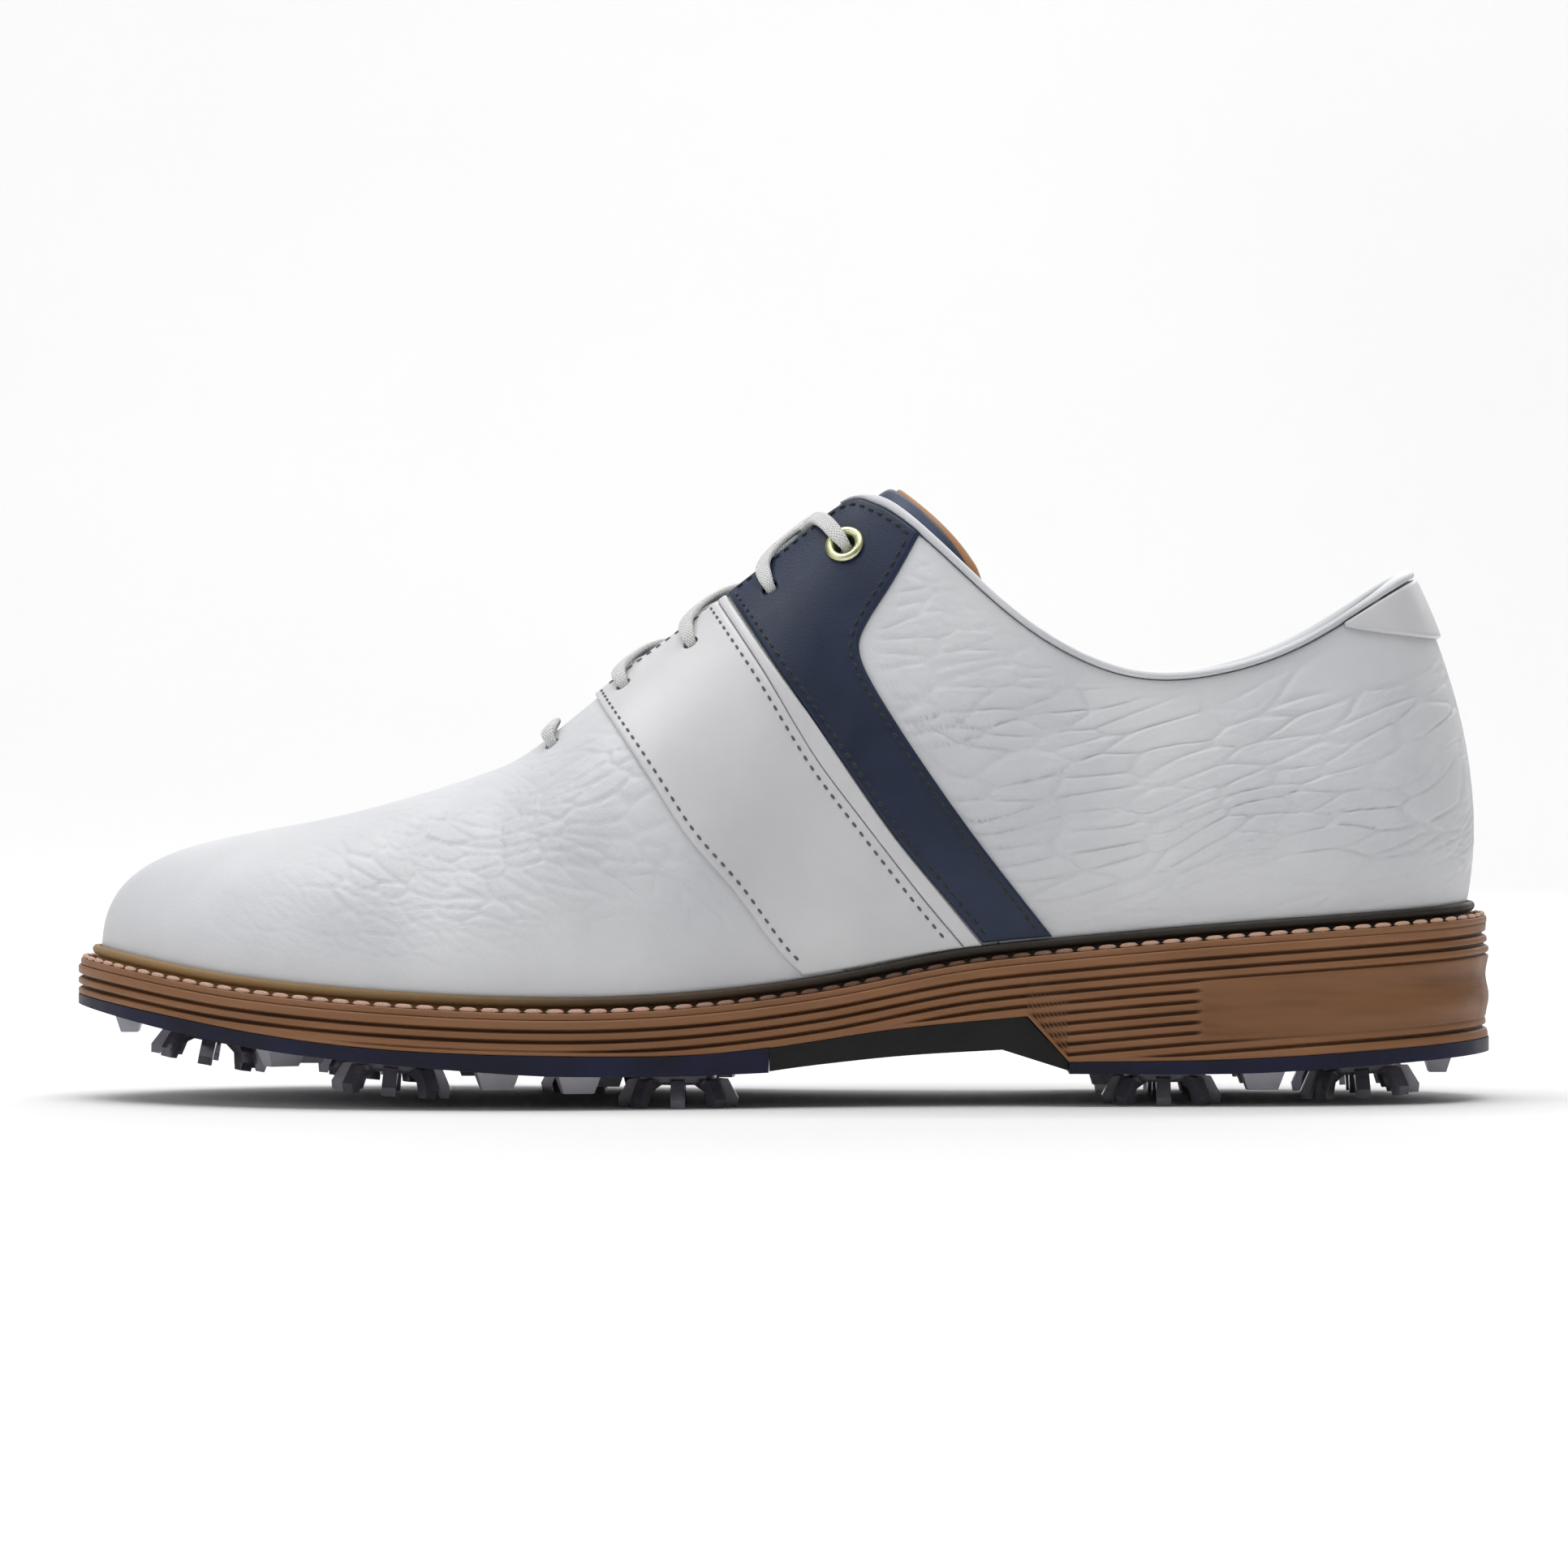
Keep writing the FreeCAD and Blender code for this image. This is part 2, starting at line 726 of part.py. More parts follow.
def make_inner_sole():
    board_low = -dim("upper_drop") - GAP
    board_high = board_low + dim("board")
    sole_layer("insole_board", [whole(feather, board_high)], [whole(feather, board_low + GAP)],
               -4.5)
    sock_low = board_high + GAP
    sole_layer("sockliner", [whole(feather, sock_low + dim("sockliner"))],
               [whole(feather, sock_low)], -5.3)
    filler = sole_layer("filler_blank", [whole(feather, board_low)],
                        [whole(feather, PLATE_BOTTOM + GAP)], INNER_MARGIN - 0.2)
    del sub_parts["filler_blank"]
    shank_start = -34.0
    shank_end = shank_start + dim("shank_length")
    shank_low = PLATE_BOTTOM + 1.0
    space = make_strip("shank_space", shank_start - 0.2, shank_end + 0.2, shank_low - 0.1,
                       shank_low + dim("shank_steel") + 0.1, "dims.shank_width + 0.4")
    del sub_parts["shank_space"]
    make_strip("shank", shank_start, shank_end, shank_low,
               shank_low + dim("shank_steel"), "dims.shank_width")
    cut = doc.addObject("Part::Cut", "bottom_filler")
    cut.Label = "bottom_filler"
    cut.Base = filler
    cut.Tool = space
    sub_parts["bottom_filler"] = cut


def make_strip(label, first, last, low, high, width):
    """A flat strip under the foot that follows the feather line."""
    body = new_body(label)
    side_view = new_sketch(body, label + "_side_view", "XZ_Plane")
    add_band(side_view, [profile_curve(feather, high, first, last)],
             [profile_curve(feather, low, first, last)])
    pad = body.newObject("PartDesign::Pad", label + "_strip")
    pad.Profile = side_view
    pad.SideType = "Symmetric"
    pad.setExpression("Length", width)
    return body


def make_sole_blanks():
    """The midsole, the two outsole pieces and the waist bridge before the cleat pockets."""
    midsole_low = [profile_curve(midsole_under, 0.0, -SPAN, BREAST_TOP[0]),
                   line(BREAST_TOP, (HEEL_FRONT, heel_under(HEEL_FRONT))),
                   profile_curve(heel_under, 0.0, HEEL_FRONT, SPAN)]
    sole_layer("midsole_blank", [whole(feather, PLATE_BOTTOM - GAP)], midsole_low, SOLE_MARGIN)
    sole_layer("forefoot_blank", [profile_curve(midsole_under, -GAP, -SPAN, FOREFOOT_END)],
               [profile_curve(tread, 0.0, -SPAN, FOREFOOT_END)], SOLE_MARGIN)
    sole_layer("heel_blank", [profile_curve(heel_under, -GAP, HEEL_FRONT, SPAN)],
               [profile_curve(heel_tread, 0.0, HEEL_FRONT, SPAN)], SOLE_MARGIN)
    bridge_start = FOREFOOT_END + 0.1
    bridge_end = HEEL_FRONT - 0.15
    breast_foot = (bridge_end, heel_under(HEEL_FRONT) - 0.1)
    bridge_corner = (BREAST_TOP[0] - 0.2, BREAST_TOP[1] - 0.2)
    waist_end = 46.0
    top = [profile_curve(midsole_under, -0.2, bridge_start, bridge_corner[0]),
           line((bridge_corner[0], midsole_under(bridge_corner[0]) - 0.2), breast_foot)]
    bottom = [profile_curve(waist_under, 0.0, bridge_start, waist_end),
              line((waist_end, waist_under(waist_end)), (bridge_end, 7.6))]
    sole_layer("waist_bridge", top, bottom, SOLE_MARGIN - 2.0)


make_welt()
make_inner_sole()
make_sole_blanks()

# ---------------------------------------------------------------- cleats and their receptacles

# Place on the tread of each cleat's axis. The ones the shoe stands on are square to the ground.
CLEATS = {
    "toe": (-122.0, 4.0),
    "fore_lateral": (-82.0, -30.0),
    "fore_medial": (-88.0, 31.0),
    "ball_lateral": (-22.0, -33.5),
    "ball_medial": (-40.0, 31.0),
    "heel_front_lateral": (80.0, -21.0),
    "heel_front_medial": (80.0, 24.5),
    "heel_rear_lateral": (122.0, -15.5),
    "heel_rear_medial": (122.0, 19.0),
}
STANDING = ("ball_lateral", "ball_medial", "heel_front_lateral", "heel_front_medial")


def tread_height(x):
    return heel_tread(x) if x > HEEL_FRONT else tread(x)


def cleat_placement(name):
    x, y = CLEATS[name]
    base = Vector(x, y, tread_height(x))
    if name in STANDING:
        return Placement(Vector(x, y, dim("cleat_reach")), Rotation())
    slope = (tread_height(x + 4.0) - tread_height(x - 4.0)) / 8.0
    return Placement(base, Rotation(Vector(0, 1, 0), -math.degrees(math.atan(slope))))


def revolved(body, name, corners):
    profile = new_sketch(body, name + "_profile", "XZ_Plane")
    add_polygon(profile, corners)
    turned = body.newObject("PartDesign::Revolution", name)
    turned.Profile = profile
    turned.ReferenceAxis = (profile, ["V_Axis"])
    turned.Angle = 360.0
    doc.recompute()
    return turned


def ring_pattern(body, name, original, count):
    pattern = body.newObject("PartDesign::PolarPattern", name)
    pattern.Originals = [original]
    pattern.Axis = (plane_of(body, "Z_Axis"), [""])
    pattern.Angle = 360.0
    pattern.Occurrences = count
    body.Tip = pattern
    return pattern


def make_cleat(name):
    label = "cleat_" + name
    body = new_body(label)
    hub = dim("cleat_hub")
    post = dim("cleat_post")
    top = dim("cleat_post_height")
    foot = -dim("cleat_reach")
    revolved(body, label + "_hub", [(0, -2.2), (hub - 0.6, -2.2), (hub, -1.6), (hub, -0.35),
                                    (post, -0.35), (post, top), (0, top)])
    leg = new_sketch(body, label + "_leg_profile", "XZ_Plane")
    add_polygon(leg, [(6.0, -0.8), (10.5, -1.2), (12.6, -5.2), (12.3, foot), (10.4, foot),
                      (9.2, -3.6), (6.0, -2.1)])
    leg_pad = body.newObject("PartDesign::Pad", label + "_leg")
    leg_pad.Profile = leg
    leg_pad.SideType = "Symmetric"
    leg_pad.setExpression("Length", "dims.cleat_leg")
    legs = ring_pattern(body, label + "_legs", leg_pad, 8)
    legs.setExpression("Occurrences", "dims.cleat_legs")
    key = new_sketch(body, label + "_key_profile", "XZ_Plane")
    reach = dim("key_reach")
    add_polygon(key, [(2.5, 2.6), (reach, 2.6), (reach, 3.8), (2.5, 3.8)])
    key_pad = body.newObject("PartDesign::Pad", label + "_key")
    key_pad.Profile = key
    key_pad.SideType = "Symmetric"
    key_pad.Length = 3.0
    ring_pattern(body, label + "_keys", key_pad, 3)
    body.Placement = cleat_placement(name)


def make_receptacle():
    """One receptacle, whose copies stand over every cleat."""
    body = new_body("receptacle_pattern")
    del sub_parts["receptacle_pattern"]
    bore = dim("cleat_post") + 0.1
    groove = dim("key_reach") + 0.2
    out = dim("receptacle")
    top = dim("receptacle_height")
    revolved(body, "receptacle_ring", [(bore, 0), (out, 0), (out, top), (0, top), (0, 5.0),
                                       (bore, 5.0), (bore, 4.0), (groove, 4.0), (groove, 2.4),
                                       (bore, 2.4)])
    slot = new_sketch(body, "entry_slot_profile", "XZ_Plane")
    add_polygon(slot, [(3.0, -0.5), (groove, -0.5), (groove, 2.5), (3.0, 2.5)])
    cut = body.newObject("PartDesign::Pocket", "entry_slot")
    cut.Profile = slot
    cut.SideType = "Symmetric"
    cut.Length = 3.6
    turned_slots = ring_pattern(body, "entry_slots", cut, 3)
    doc.recompute()
    copies = []
    for name in CLEATS:
        copy = body.Shape.copy()
        turn = Placement(Vector(0, 0, 0), Rotation(Vector(0, 0, 1), 60.0))
        copy.Placement = cleat_placement(name).multiply(turn)
        copies.append(copy)
    feature("cleat_receptacles", Part.makeCompound(copies))
    return turned_slots


def pocket_tools(radius, low, high):
    tools = []
    for name in CLEATS:
        tool = Part.makeCylinder(radius, high - low, Vector(0, 0, low))
        tool.Placement = cleat_placement(name).multiply(tool.Placement)
        tools.append(tool)
    return Part.makeCompound(tools)


def cut_with(label, base, tool):
    cut = doc.addObject("Part::Cut", label)
    cut.Label = label
    cut.Base = base
    cut.Tool = tool
    sub_parts[label] = cut
    return cut


def lug(x, y, turn):
    """A tread lug: a low four-sided block that narrows towards its foot."""
    height = tread_height(x)
    reach = dim("lug_reach")
    levels = ((height + 1.0, 4.8, 3.2), (height, 4.6, 3.0), (height - reach, 3.2, 1.8))
    wires = []
    for z, half_x, half_y in levels:
        corners = [Vector(sx * half_x, sy * half_y, z) for sx, sy in
                   ((-1, -1), (1, -1), (1, 1), (-1, 1))]
        wires.append(Part.makePolygon(corners + corners[:1]))
    block = Part.makeLoft(wires, True, True)
    block.Placement = Placement(Vector(x, y, 0), Rotation(Vector(0, 0, 1), turn))
    return block


FOREFOOT_LUGS = [(-140.0, 5.0, 90), (-106.0, -23.0, 30), (-111.0, 27.0, -30), (-102.0, 3.0, 0),
                 (-60.0, -40.0, 10), (-62.0, 36.0, -10), (-60.0, -14.0, 0), (-66.0, 12.0, 0),
                 (-38.0, -10.0, 0), (-18.0, 8.0, 0), (-14.0, 28.0, -10), (-43.0, -40.0, 10)]
HEEL_LUGS = [(68.0, 2.0, 90), (101.0, -26.0, 5), (101.0, 30.0, -5), (101.0, 2.0, 0),
             (140.0, 2.0, 90)]

for name in CLEATS:
    make_cleat(name)
make_receptacle()
pockets = doc.addObject("Part::Feature", "cleat_pockets")
pockets.Shape = pocket_tools(dim("receptacle") + GAP, -2.0, dim("receptacle_height") + GAP)
for label, blank in (("midsole", "midsole_blank"), ("outsole_forefoot", "forefoot_blank"),
                     ("outsole_heel", "heel_blank")):
    cut_with(label, sub_parts.pop(blank), pockets)
doc.recompute()
for label, places, tread_piece in (("forefoot_lugs", FOREFOOT_LUGS, "outsole_forefoot"),
                                   ("heel_lugs", HEEL_LUGS, "outsole_heel")):
    blocks = doc.addObject("Part::Feature", label + "_blocks")
    blocks.Shape = Part.makeCompound([lug(*place) for place in places])
    cut_with(label, blocks, sub_parts[tread_piece])

# ---------------------------------------------------------------- the tongue

# Rows from the stitched base to the free top: the station and height share of its side edge,
# how deep that edge lies under the upper, and the place of the middle of the row.
TONGUE_ROWS = [
    (13.5, 0.82, 3.5, -63.5, 62.6),
    (12.6, 0.80, 5.2, -57.5, 65.2),
    (11.8, 0.79, 6.6, -48.5, 70.6),
    (10.8, 0.79, 6.6, -33.0, 83.6),
    (9.8, 0.79, 6.6, -17.5, 95.8),
    (8.8, 0.79, 6.6, -2.5, 108.2),
    (7.9, 0.80, 6.6, 8.5, 118.4),
    (7.1, 0.86, 7.2, 14.5, 124.2),
    (6.3, 0.93, 8.2, 19.5, 128.2),
    (5.7, 1.00, 9.2, 24.0, 131.0),
]
TONGUE_ARCH = 0.25
tongue_lines = [Profile(list(enumerate(column))) for column in zip(*TONGUE_ROWS)]


def tongue_section(row):
    u, v, depth, middle_x, middle_z = (trend(row) for trend in tongue_lines)
    v = min(v, 1.0)
    ends = [skin(on_side(side, u), v, -depth) for side in SIDES]
    middle = (ends[0] + ends[1]) / 2
    lift = Vector(middle_x - middle.x, 0, middle_z - middle.z) / 0.75
    handles = [end + (middle - end) * TONGUE_ARCH + lift for end in ends]
    return ends[0], handles[0], handles[1], ends[1]


def tongue_skin(row, across, depth):
    point = bezier(tongue_section(row), across)
    if depth == 0.0:
        return point
    step = 0.02
    low = max(across - step, 0.0)
    high = min(across + step, 1.0)
    here = tongue_section(row)
    side_way = bezier(here, high) - bezier(here, low)
    first = max(row - step, 0.0)
    last = min(row + step, len(TONGUE_ROWS) - 1.0)
    up_way = bezier(tongue_section(last), across) - bezier(tongue_section(first), across)
    return point - up_way.cross(side_way).normalize() * depth


def tongue_layer(label, first, last, edge, high, low):
    layers = []
    for depth in (high, low):
        rows = []
        for j in range(19):
            row = first + (last - first) * j / 18
            rows.append([tongue_skin(row, edge + (1 - 2 * edge) * i / 20, depth)
                         for i in range(21)])
        layers.append(rows)
    return feature(label, sheet_solid(layers[0], layers[1]))


def make_tongue():
    last = len(TONGUE_ROWS) - 1
    skin_depth = dim("tongue_skin")
    foam_top = skin_depth + GAP
    foam_low = foam_top + dim("tongue_foam")
    lining_top = foam_low + GAP
    tongue_layer("tongue_outer", 0, last, 0.0, 0.0, skin_depth)
    tongue_layer("tongue_foam", 0.7, last - 0.3, 0.05, foam_top, foam_low)
    tongue_layer("tongue_lining", 0.3, last, 0.0, lining_top, lining_top + dim("tongue_lining"))


make_tongue()

# ---------------------------------------------------------------- eyelet rings


def make_top_eyelet(side):
    label = "top_eyelet_" + side
    body = new_body(label)
    bore = dim("top_eyelet_hole")
    wall = bore + 0.25
    flange = dim("top_eyelet_flange")
    revolved(body, label + "_ring", [(bore, -2.85), (flange - 0.7, -2.85), (flange - 0.7, -2.6),
                                     (wall, -2.6), (wall, 1.35), (flange, 1.35),
                                     (flange - 0.4, 1.9), (bore, 1.9)])
    normal = skin_normal(*EYELETS[side][TOP_EYELET])
    turn = Rotation(Vector(0, 0, 1), normal)
    body.Placement = Placement(eyelet_point(side, TOP_EYELET, 0.0), turn)


for side in SIDES:
    make_top_eyelet(side)

# ---------------------------------------------------------------- the lace


def rounded_path(points):
    """Straight runs joined by tangent arcs, each as large as its two runs allow."""
    edges = []
    radii = []
    here = points[0]
    for before, corner, after in zip(points, points[1:], points[2:]):
        back = (before - corner)
        on = (after - corner)
        shorter = min(back.Length, on.Length)
        back.normalize()
        on.normalize()
        turn = math.pi - back.getAngle(on)
        cut = 0.45 * shorter
        radii.append(cut / math.tan(turn / 2))
        start = corner + back * cut
        end = corner + on * cut
        bisector = (back + on).normalize()
        to_centre = radii[-1] / math.cos(turn / 2)
        middle = corner + bisector * (to_centre - radii[-1])
        edges.append(Part.LineSegment(here, start).toShape())
        edges.append(Part.Arc(start, middle, end).toShape())
        here = end
    edges.append(Part.LineSegment(here, points[-1]).toShape())
    return Part.Wire(edges), radii


def cord_tube(label, points, diameter):
    path, radii = rounded_path(points)
    start_way = (points[1] - points[0])
    ring_edge = Part.makeCircle(diameter / 2, points[0], start_way)
    tube = path.makePipeShell([Part.Wire(ring_edge)], True, True)
    area = math.pi * diameter ** 2 / 4
    print("%s: length %.1f mm, least radius %.1f mm, volume over section times length %.4f"
          % (label, path.Length, min(radii), tube.Volume / (area * path.Length)))
    return feature(label, tube)


# How far the lace's middle stands off the upper: over it, under it, and at the facing's edge,
# where its path rounds the corner. It clears a top eyelet's ring by more.
LACE_OUT = 3.0
LACE_IN = 3.9
LACE_OVER_EDGE = 3.7
LACE_UNDER_EDGE = 4.6
LACE_OVER_RING = 3.9
LACE_UNDER_RING = 4.3


def over_edge(side, station, height):
    return skin(on_side(side, station), 0.985, height)


def throat_middle(station, height):
    ends = [skin(on_side(side, station), 1.0) for side in SIDES]
    return (ends[0] + ends[1]) / 2 + Vector(0, 0, height)


def other(side):
    return MEDIAL if side == LATERAL else LATERAL


def height_station(number):
    """The station of an eyelet counted from the heel, as on the lateral side."""
    return heel_distance(EYELETS[LATERAL][number][0])


def lace_cross(side, number, outside, height):
    """The lace from one eyelet to the next one up on the other side."""
    level = LACE_OUT if outside else -LACE_IN
    edge_level = LACE_OVER_EDGE if outside else -LACE_UNDER_EDGE
    far_level = LACE_OVER_RING if number + 1 == TOP_EYELET else level
    low = height_station(number)
    high = height_station(number + 1)
    far = other(side)
    return [eyelet_point(side, number, level),
            over_edge(side, low + (high - low) * 0.25, edge_level),
            throat_middle((low + high) / 2, height),
            over_edge(far, low + (high - low) * 0.75, edge_level),
            eyelet_point(far, number + 1, far_level)]


# Each strand climbs from the bar at the vamp: under, over, under, over, to the top eyelet.
CROSS_HEIGHTS = {MEDIAL: (-2.6, 1.0, -2.6, 1.0), LATERAL: (0.3, 4.0, 0.3, 4.0)}


def strand(side):
    """The lace from the bar's eyelet on one side up to its top eyelet."""
    points = []
    here = side
    for number, height in enumerate(CROSS_HEIGHTS[side]):
        points.extend(lace_cross(here, number, number % 2 == 1, height))
        here = other(here)
    return points


def tail_start(side):
    u, v = EYELETS[side][TOP_EYELET]
    return [skin(u, v, -LACE_UNDER_RING), skin(u, v - 0.09, -LACE_IN)]


def make_lace():
    bar_station = height_station(0)
    bar = [eyelet_point(LATERAL, 0, LACE_OUT), over_edge(LATERAL, bar_station, LACE_OVER_EDGE),
           over_edge(MEDIAL, bar_station, LACE_OVER_EDGE), eyelet_point(MEDIAL, 0, LACE_OUT)]
    first = strand(LATERAL) + tail_start(MEDIAL if len(CROSS_HEIGHTS[LATERAL]) % 2 else LATERAL)
    second = strand(MEDIAL) + tail_start(LATERAL if len(CROSS_HEIGHTS[MEDIAL]) % 2 else MEDIAL)
    cord_tube("lace", first[::-1] + bar + second, dim("lace"))


make_lace()
doc.recompute()


# The free ends hang down inside the quarters and lie along the sockliner towards the toe. Each
# route starts where the laced part ends; the wall points are station, height share and depth,
# the footbed points are x and y.
TAIL_WALL = [(7.8, 0.64, 4.3), (7.6, 0.50, 5.4), (7.3, 0.36, 6.8), (7.35, 0.23, 8.6)]
TAIL_FLOOR = {
    LATERAL: [(2.0, -26.0), (-18.0, -30.0), (-40.0, -34.0), (-63.0, -28.0), (-86.0, -32.0),
              (-107.0, -23.0), (-122.0, -8.0)],
    MEDIAL: [(1.0, 27.0), (-19.0, 31.0), (-41.0, 29.0), (-64.0, 34.0), (-87.0, 29.0),
             (-109.0, 32.0), (-125.0, 21.0)],
}
AGLET_LIFT = 1.3
FOOTBED = -dim("upper_drop") + dim("board") + dim("sockliner")


def footbed_height(x, above):
    return feather(x) + FOOTBED + above


def tail_route(side):
    start = tail_start(side)[-1]
    wall = [skin(on_side(side, u), v, -depth) for u, v, depth in TAIL_WALL]
    rest = dim("lace") / 2 + 0.25
    floor = [Vector(x, y, footbed_height(x, rest)) for x, y in TAIL_FLOOR[side]]
    floor[-1] += Vector(0, 0, AGLET_LIFT)
    return [start] + wall + floor


def make_tail(side):
    route = tail_route(side)
    cord_tube("lace_tail_" + side, route, dim("lace"))
    way = (route[-1] - route[-2]).normalize()
    aglet = doc.addObject("Part::Cylinder", "aglet_" + side)
    aglet.Label = "aglet_" + side
    aglet.setExpression("Radius", "dims.aglet / 2")
    aglet.setExpression("Height", "dims.aglet_length")
    aglet.Placement = Placement(route[-1], Rotation(Vector(0, 0, 1), way))
    sub_parts[aglet.Label] = aglet


for side in SIDES:
    make_tail(side)
doc.recompute()

# ---------------------------------------------------------------- check and write

for made in doc.Objects:
    if "Invalid" in made.State or "Error" in made.State:
        raise RuntimeError("%s did not build: %s" % (made.Label, made.State))
for label, made in sub_parts.items():
    if made.Shape.isNull() or not made.Shape.isValid() or not made.Shape.Solids:
        raise RuntimeError(label + " has no valid solid")
    if made.Shape.Volume <= 0:
        raise RuntimeError(label + " is inside out")

os.makedirs("parts", exist_ok=True)
for label, made in sub_parts.items():
    made.Shape.exportStep("parts/%s.step" % label)
print("%d sub-parts written" % len(sub_parts))
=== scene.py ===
import math

import bmesh
import bpy
import numpy as np
from mathutils import Matrix, Vector


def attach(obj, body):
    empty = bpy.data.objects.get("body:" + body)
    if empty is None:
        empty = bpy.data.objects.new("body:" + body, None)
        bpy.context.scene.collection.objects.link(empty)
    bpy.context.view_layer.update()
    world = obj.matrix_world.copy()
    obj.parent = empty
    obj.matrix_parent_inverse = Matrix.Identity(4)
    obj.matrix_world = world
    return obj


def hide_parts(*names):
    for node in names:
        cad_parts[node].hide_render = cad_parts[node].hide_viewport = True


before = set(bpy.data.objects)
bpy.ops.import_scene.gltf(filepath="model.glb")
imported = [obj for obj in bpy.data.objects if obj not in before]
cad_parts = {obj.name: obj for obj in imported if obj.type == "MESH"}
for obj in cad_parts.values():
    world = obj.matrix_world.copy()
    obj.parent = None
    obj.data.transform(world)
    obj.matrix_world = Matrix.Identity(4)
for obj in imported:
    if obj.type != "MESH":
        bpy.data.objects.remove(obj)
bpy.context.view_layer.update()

# A man's left saddle golf shoe. The toe points along -X, the outer (lateral) side faces -Y.
# Lengths below are in millimetres, and become metres when a mesh or curve is made.

MM = 0.001
SHOE = "shoe"
TONGUE = "tongue"
LATERAL = "lateral"
MEDIAL = "medial"
SIDES = (LATERAL, MEDIAL)

# ---------------------------------------------------------------- camera

VIEW_WIDTH = 335.3
VIEW_CENTRE = Vector((0.2, 0.0, 67.2))
VIEW_RISE = math.radians(0.9)
LENS = 200.0
SENSOR = 36.0


def link(made):
    bpy.context.scene.collection.objects.link(made)


def make_camera():
    data = bpy.data.cameras.new("camera")
    data.lens = LENS
    data.sensor_width = SENSOR
    data.dof.use_dof = False
    camera = bpy.data.objects.new("camera", data)
    away = VIEW_WIDTH * LENS / SENSOR
    back = Vector((0.0, -math.cos(VIEW_RISE), math.sin(VIEW_RISE)))
    camera.location = (VIEW_CENTRE + back * away) * MM
    camera.rotation_euler = (-back).to_track_quat("-Z", "Y").to_euler()
    link(camera)
    bpy.context.scene.camera = camera


make_camera()

# ---------------------------------------------------------------- profiles and the upper's surface


class Profile:
    """A smooth line through (position, height) points, straight beyond its ends."""

    def __init__(self, points):
        self.at = np.array([point[0] for point in points], float)
        self.value = np.array([point[1] for point in points], float)
        order = np.arange(len(points))
        left = np.maximum(order - 1, 0)
        right = np.minimum(order + 1, len(points) - 1)
        self.slope = (self.value[right] - self.value[left]) / (self.at[right] - self.at[left])

    def __call__(self, position):
        position = np.asarray(position, float)
        i = np.clip(np.searchsorted(self.at, position, side="right") - 1, 0, len(self.at) - 2)
        span = self.at[i + 1] - self.at[i]
        t = np.clip((position - self.at[i]) / span, 0.0, 1.0)
        start = (2 * t ** 3 - 3 * t ** 2 + 1) * self.value[i]
        start = start + (t ** 3 - 2 * t ** 2 + t) * span * self.slope[i]
        end = (3 * t ** 2 - 2 * t ** 3) * self.value[i + 1]
        end = end + (t ** 3 - t ** 2) * span * self.slope[i + 1]
        before = np.minimum(position - self.at[0], 0.0) * self.slope[0]
        after = np.maximum(position - self.at[-1], 0.0) * self.slope[-1]
        return start + end + before + after


feather = Profile([(-145.8, 32.5), (-115.4, 27.6), (-80.7, 24.6), (-46.0, 23.4), (-20.0, 24.3),
                   (7.0, 27.4), (37.0, 33.0), (57.0, 35.3), (94.0, 38.5), (145.0, 42.0)])
midsole_under = Profile([(-150.6, 22.4), (-132.8, 19.4), (-106.7, 15.1), (-80.7, 12.5),
                         (-46.0, 11.3), (-20.0, 11.3), (-2.6, 12.8), (23.4, 16.5), (51.2, 19.1)])
heel_under = Profile([(60.0, 9.4), (96.0, 10.0), (151.0, 13.4)])
tread = Profile([(-150.6, 20.3), (-126.0, 15.2), (-106.7, 12.0), (-80.7, 9.4), (-52.0, 7.3),
                 (-40.0, 7.0), (-20.0, 7.0), (-2.0, 7.6)])
heel_tread = Profile([(58.0, 7.0), (96.0, 7.0), (122.0, 8.4), (151.0, 10.4)])

# One row per station from the middle of the heel (0) round the side to the middle of the toe
# (16): the feather line's x, its lateral and medial y; the top edge's x, half width and height;
# how far the section rises and bulges as it leaves the feather line, and how far it falls and
# spreads below the top edge.
STATIONS = [
    (146.0, 0.0, 0.0, 133.3, 0.0, 112.6, 22.0, 5.0, 24.0, 12.0),
    (136.6, -22.6, 22.0, 126.6, 16.1, 108.6, 22.0, 4.5, 23.0, 10.0),
    (114.0, -32.0, 32.0, 110.5, 23.5, 98.6, 20.0, 4.0, 20.0, 6.5),
    (92.0, -34.0, 33.0, 92.0, 28.5, 92.2, 19.0, 4.5, 19.0, 4.5),
    (70.0, -34.8, 32.0, 72.0, 31.0, 92.0, 19.0, 5.0, 20.0, 4.5),
    (48.0, -35.2, 30.3, 52.0, 31.0, 101.8, 22.0, 5.5, 23.0, 5.5),
    (30.0, -36.3, 29.5, 36.0, 27.0, 116.0, 28.0, 6.0, 26.0, 9.0),
    (14.0, -38.3, 30.5, 24.0, 20.5, 126.3, 31.0, 6.0, 24.0, 14.0),
    (-2.0, -41.0, 33.0, 14.0, 14.5, 127.0, 32.0, 4.0, 18.0, 17.0),
    (-18.0, -44.5, 36.5, -1.0, 12.6, 115.5, 30.0, 5.0, 14.0, 21.0),
    (-36.0, -48.0, 40.8, -18.0, 11.3, 102.3, 27.0, 4.0, 11.0, 22.0),
    (-56.0, -50.3, 44.5, -36.0, 10.0, 88.6, 24.0, 3.0, 9.0, 23.5),
    (-78.0, -49.0, 46.5, -50.0, 8.5, 77.3, 18.0, 2.0, 9.0, 20.0),
    (-100.0, -43.5, 44.5, -56.5, 6.3, 72.6, 21.0, 1.5, 8.0, 30.0),
    (-120.0, -33.5, 37.5, -59.0, 4.2, 71.2, 22.0, 1.0, 10.0, 34.0),
    (-136.0, -19.5, 25.0, -60.0, 2.0, 70.7, 27.0, 0.5, 14.0, 38.0),
    (-146.0, 3.0, 3.0, -60.3, 0.0, 70.5, 31.5, 0.5, 18.5, 40.0),
]
TOE = len(STATIONS) - 1
